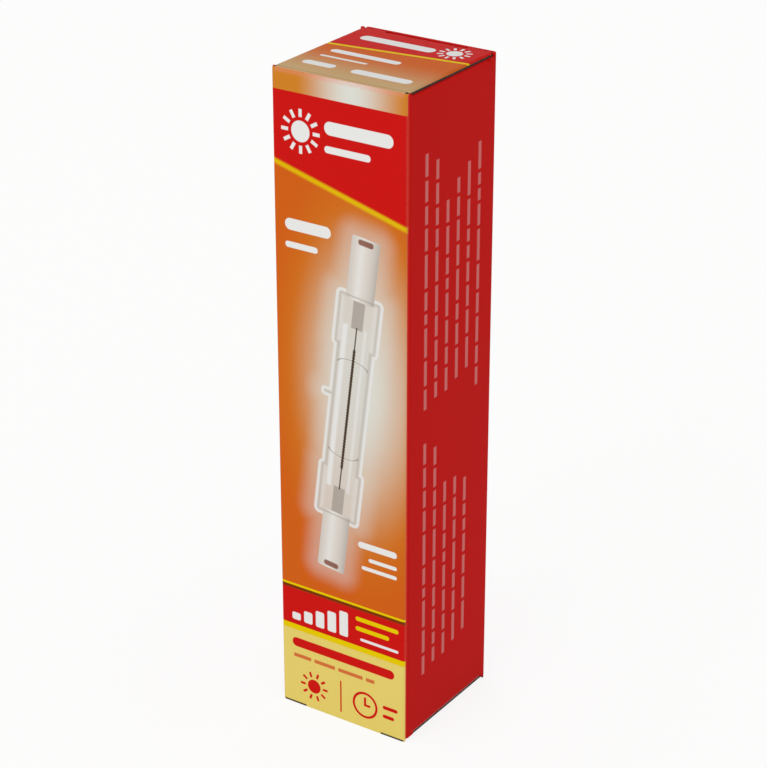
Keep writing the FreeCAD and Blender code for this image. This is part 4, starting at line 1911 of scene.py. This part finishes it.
@dataclass
class Lamp:
    """The double-ended lamp: carried-over pieces with their finishes, and a wound filament."""

    nodes: dict[str, bpy.types.Object]
    turns_per_mm: float = 2.6
    wire: float = 0.09
    steps_per_turn: int = 14
    wire_sides: int = 6
    tungsten: bpy.types.Material = field(init=False)

    def __post_init__(self) -> None:
        """Makes the finish that the filament and its supports share."""
        finish = HardFinish("filament_wire", "6E6B69", "4B4846", 0.45, metallic=1.0, lumps_per_mm=6.0)
        self.tungsten = finish.material()

    def dress(self) -> list[bpy.types.Object]:
        """Gives every carried-over piece of the lamp its finish.

        Returns:
            The pieces.
        """
        quartz = HardFinish("quartz", "FFFFFF", "F4F8FA", 0.02, clear=1.0, index=1.46)
        ceramic = HardFinish("cap_ceramic", "F1EDE4", "E2DBCD", 0.55, lumps_per_mm=2.0)
        contact = HardFinish("contact_metal", "B9B4AA", "8D877C", 0.32, metallic=1.0, lumps_per_mm=3.0)
        seal = HardFinish("seal_metal", "9A9C9E", "74777A", 0.28, metallic=1.0, lumps_per_mm=4.0)
        finishes = (
            (("quartz_envelope",), quartz.material()),
            (("cap",), ceramic.material()),
            (("contact",), contact.material()),
            (("outer_lead", "foil", "inner_lead"), seal.material()),
            (("filament_supports",), self.tungsten),
        )
        shown = []
        for endings, material in finishes:
            for name, node in self.nodes.items():
                if name.endswith(endings):
                    node.data.materials.clear()
                    node.data.materials.append(material)
                    shown.append(node)
        return shown

    def build_filament(self) -> bpy.types.Object:
        """The wound filament, in the room of its plain form.

        Returns:
            The dressed piece.
        """
        low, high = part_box("filament")
        centre = (low + high) / 2
        sides = self.wire_sides
        wire = self.wire * MM
        radius = (high.x - low.x) / 2 - wire
        length = high.z - low.z - 2 * wire
        count = int(length / MM * self.turns_per_mm) * self.steps_per_turn
        points, faces = [], []
        for i in range(count + 1):
            turn = math.tau * i / self.steps_per_turn
            out = Vector((math.cos(turn), math.sin(turn), 0))
            middle = centre + out * radius + Vector((0, 0, (i / count - 0.5) * length))
            for j in range(sides):
                angle = math.tau * j / sides
                points.append(middle + (out * math.cos(angle) + Vector((0, 0, math.sin(angle)))) * wire)
                if i:
                    a, b = (i - 1) * sides + j, (i - 1) * sides + (j + 1) % sides
                    faces.append((a, a + sides, b + sides, b))
        faces.append(tuple(range(sides)))
        faces.append(tuple(count * sides + j for j in reversed(range(sides))))
        mesh = bpy.data.meshes.new("wound_filament")
        mesh.from_pydata(points, [], faces)
        mesh.polygons.foreach_set("use_smooth", [True] * len(faces))
        mesh.materials.append(self.tungsten)
        piece = linked("wound_filament", mesh)
        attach(piece, "carton")
        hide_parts("filament")
        return piece


@dataclass
class Sleeve:
    """The fluted paper sleeve round the lamp."""

    node: bpy.types.Object

    def dress(self) -> bpy.types.Object:
        """Gives the sleeve its paper finish.

        Returns:
            The piece.
        """
        paper = PlainBoard("sleeve_card", "CDAA7C", "AC8558", grain=14.0)
        self.node.data.materials.clear()
        self.node.data.materials.append(paper.material())
        return self.node


@dataclass
class Studio:
    """A pale floor, soft light and the camera, in metres and degrees."""

    focal_pixels: float = 2431.9
    image_height: float = 768.0
    sensor: float = 36.0
    azimuth: float = 33.89
    elevation: float = 25.05
    distance: float = 0.3463
    aside: float = -0.000205
    above: float = 0.00106
    nearest: float = 0.01
    ambient: float = 0.74
    floor_size: float = 6.0
    floor_colour: str = "EDECEA"
    floor_white: float = 0.80
    floor_light: float = 1.05
    light_towards: tuple[float, float, float] = (-0.15, -0.95, 0.42)
    light_aim: tuple[float, float, float] = (0, 0, 0.05)
    light_away: float = 1.6
    light_size: float = 1.1
    light_watts: float = 7.5

    def build(self) -> None:
        """Makes the floor, the light and the camera."""
        self._floor()
        self._world()
        self._light()
        self._camera()

    def _floor(self) -> None:
        """Adds the floor, which looks white to the camera, keeps the shadow and is clear from below."""
        half = self.floor_size / 2
        mesh = bpy.data.meshes.new("floor")
        corners = [(-half, -half, 0), (half, -half, 0), (half, half, 0), (-half, half, 0)]
        mesh.from_pydata(corners, [], [(0, 1, 2, 3)])
        linked("floor", mesh)
        material = bpy.data.materials.new("floor")
        material.use_nodes = True
        tree = material.node_tree
        tree.nodes.clear()
        out = tree.nodes.new("ShaderNodeOutputMaterial")
        diffuse = tree.nodes.new("ShaderNodeBsdfDiffuse")
        feed(tree, diffuse.inputs["Color"], linear(self.floor_colour))
        white = tree.nodes.new("ShaderNodeEmission")
        feed(tree, white.inputs["Strength"], self.floor_light)
        share = self._seen(tree) * self.floor_white
        lit = shader_mix(tree, share, diffuse.outputs[0], white.outputs[0])
        side = tree.nodes.new("ShaderNodeNewGeometry")
        clear = tree.nodes.new("ShaderNodeBsdfTransparent")
        one_way = shader_mix(tree, side.outputs["Backfacing"], lit, clear.outputs[0])
        feed(tree, out.inputs["Surface"], one_way)
        mesh.materials.append(material)

    def _seen(self, tree: bpy.types.NodeTree) -> Plot:
        """1 for what the camera sees, also in a reflection or through glass.

        Args:
            tree: the node tree.

        Returns:
            1 or 0.
        """
        path = tree.nodes.new("ShaderNodeLightPath")
        rays = [Plot(tree, path.outputs[f"Is {kind} Ray"]) for kind in ("Camera", "Glossy", "Transmission")]
        return rays[0].over(rays[1]).over(rays[2])

    def _world(self) -> None:
        """Lights the scene evenly, with white where the camera sees past the floor."""
        world = bpy.data.worlds.new("studio")
        bpy.context.scene.world = world
        world.use_nodes = True
        tree = world.node_tree
        sky = tree.nodes["Background"]
        feed(tree, sky.inputs["Color"], (1, 1, 1, 1))
        feed(tree, sky.inputs["Strength"], self._seen(tree).ramp(0.0, 1.0, self.ambient, 1.0))

    def _light(self) -> None:
        """Adds one soft light that faces the front panel."""
        lamp = bpy.data.lights.new("front_panel_light", "AREA")
        lamp.size = self.light_size
        lamp.energy = self.light_watts
        light = linked("front_panel_light", lamp)
        back = Vector(self.light_towards).normalized()
        light.location = Vector(self.light_aim) + back * self.light_away
        light.rotation_euler = back.to_track_quat("Z", "Y").to_euler()

    def _camera(self) -> None:
        """Adds the camera at the photograph's place."""
        a, e = math.radians(self.azimuth), math.radians(self.elevation)
        back = Vector((math.sin(a) * math.cos(e), -math.cos(a) * math.cos(e), math.sin(e)))
        right = Vector((math.cos(a), math.sin(a), 0))
        up = back.cross(right)
        low, high = CAD_BOX
        target = Vector((0, 0, (low.z + high.z) / 2)) + right * self.aside + up * self.above
        data = bpy.data.cameras.new("camera")
        data.sensor_width = self.sensor
        data.lens = self.sensor * self.focal_pixels / self.image_height
        data.clip_start = self.nearest
        camera = linked("camera", data)
        camera.location = target + back * self.distance
        camera.rotation_euler = back.to_track_quat("Z", "Y").to_euler()
        bpy.context.scene.camera = camera
        bpy.context.scene.view_settings.view_transform = "Standard"


def main() -> None:
    """Builds every piece in order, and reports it."""
    logging.basicConfig(level=logging.INFO, format="%(name)s: %(message)s")
    sizes = CardSizes.from_frame()
    finishes = CardFinishes(PrintLayout(sizes))
    pieces = [CartonBody(sizes, finishes).build()]
    pieces += [TuckLid(end, sizes, finishes).build() for end in End]
    lamp = Lamp(frame["nodes"])
    pieces += [Sleeve(frame["nodes"]["corrugated_sleeve"]).dress(), lamp.build_filament(), *lamp.dress()]
    for piece in pieces:
        log.info("%s: %d faces", piece.name, len(piece.data.polygons))
    Studio().build()


if __name__ == "__main__":
    main()
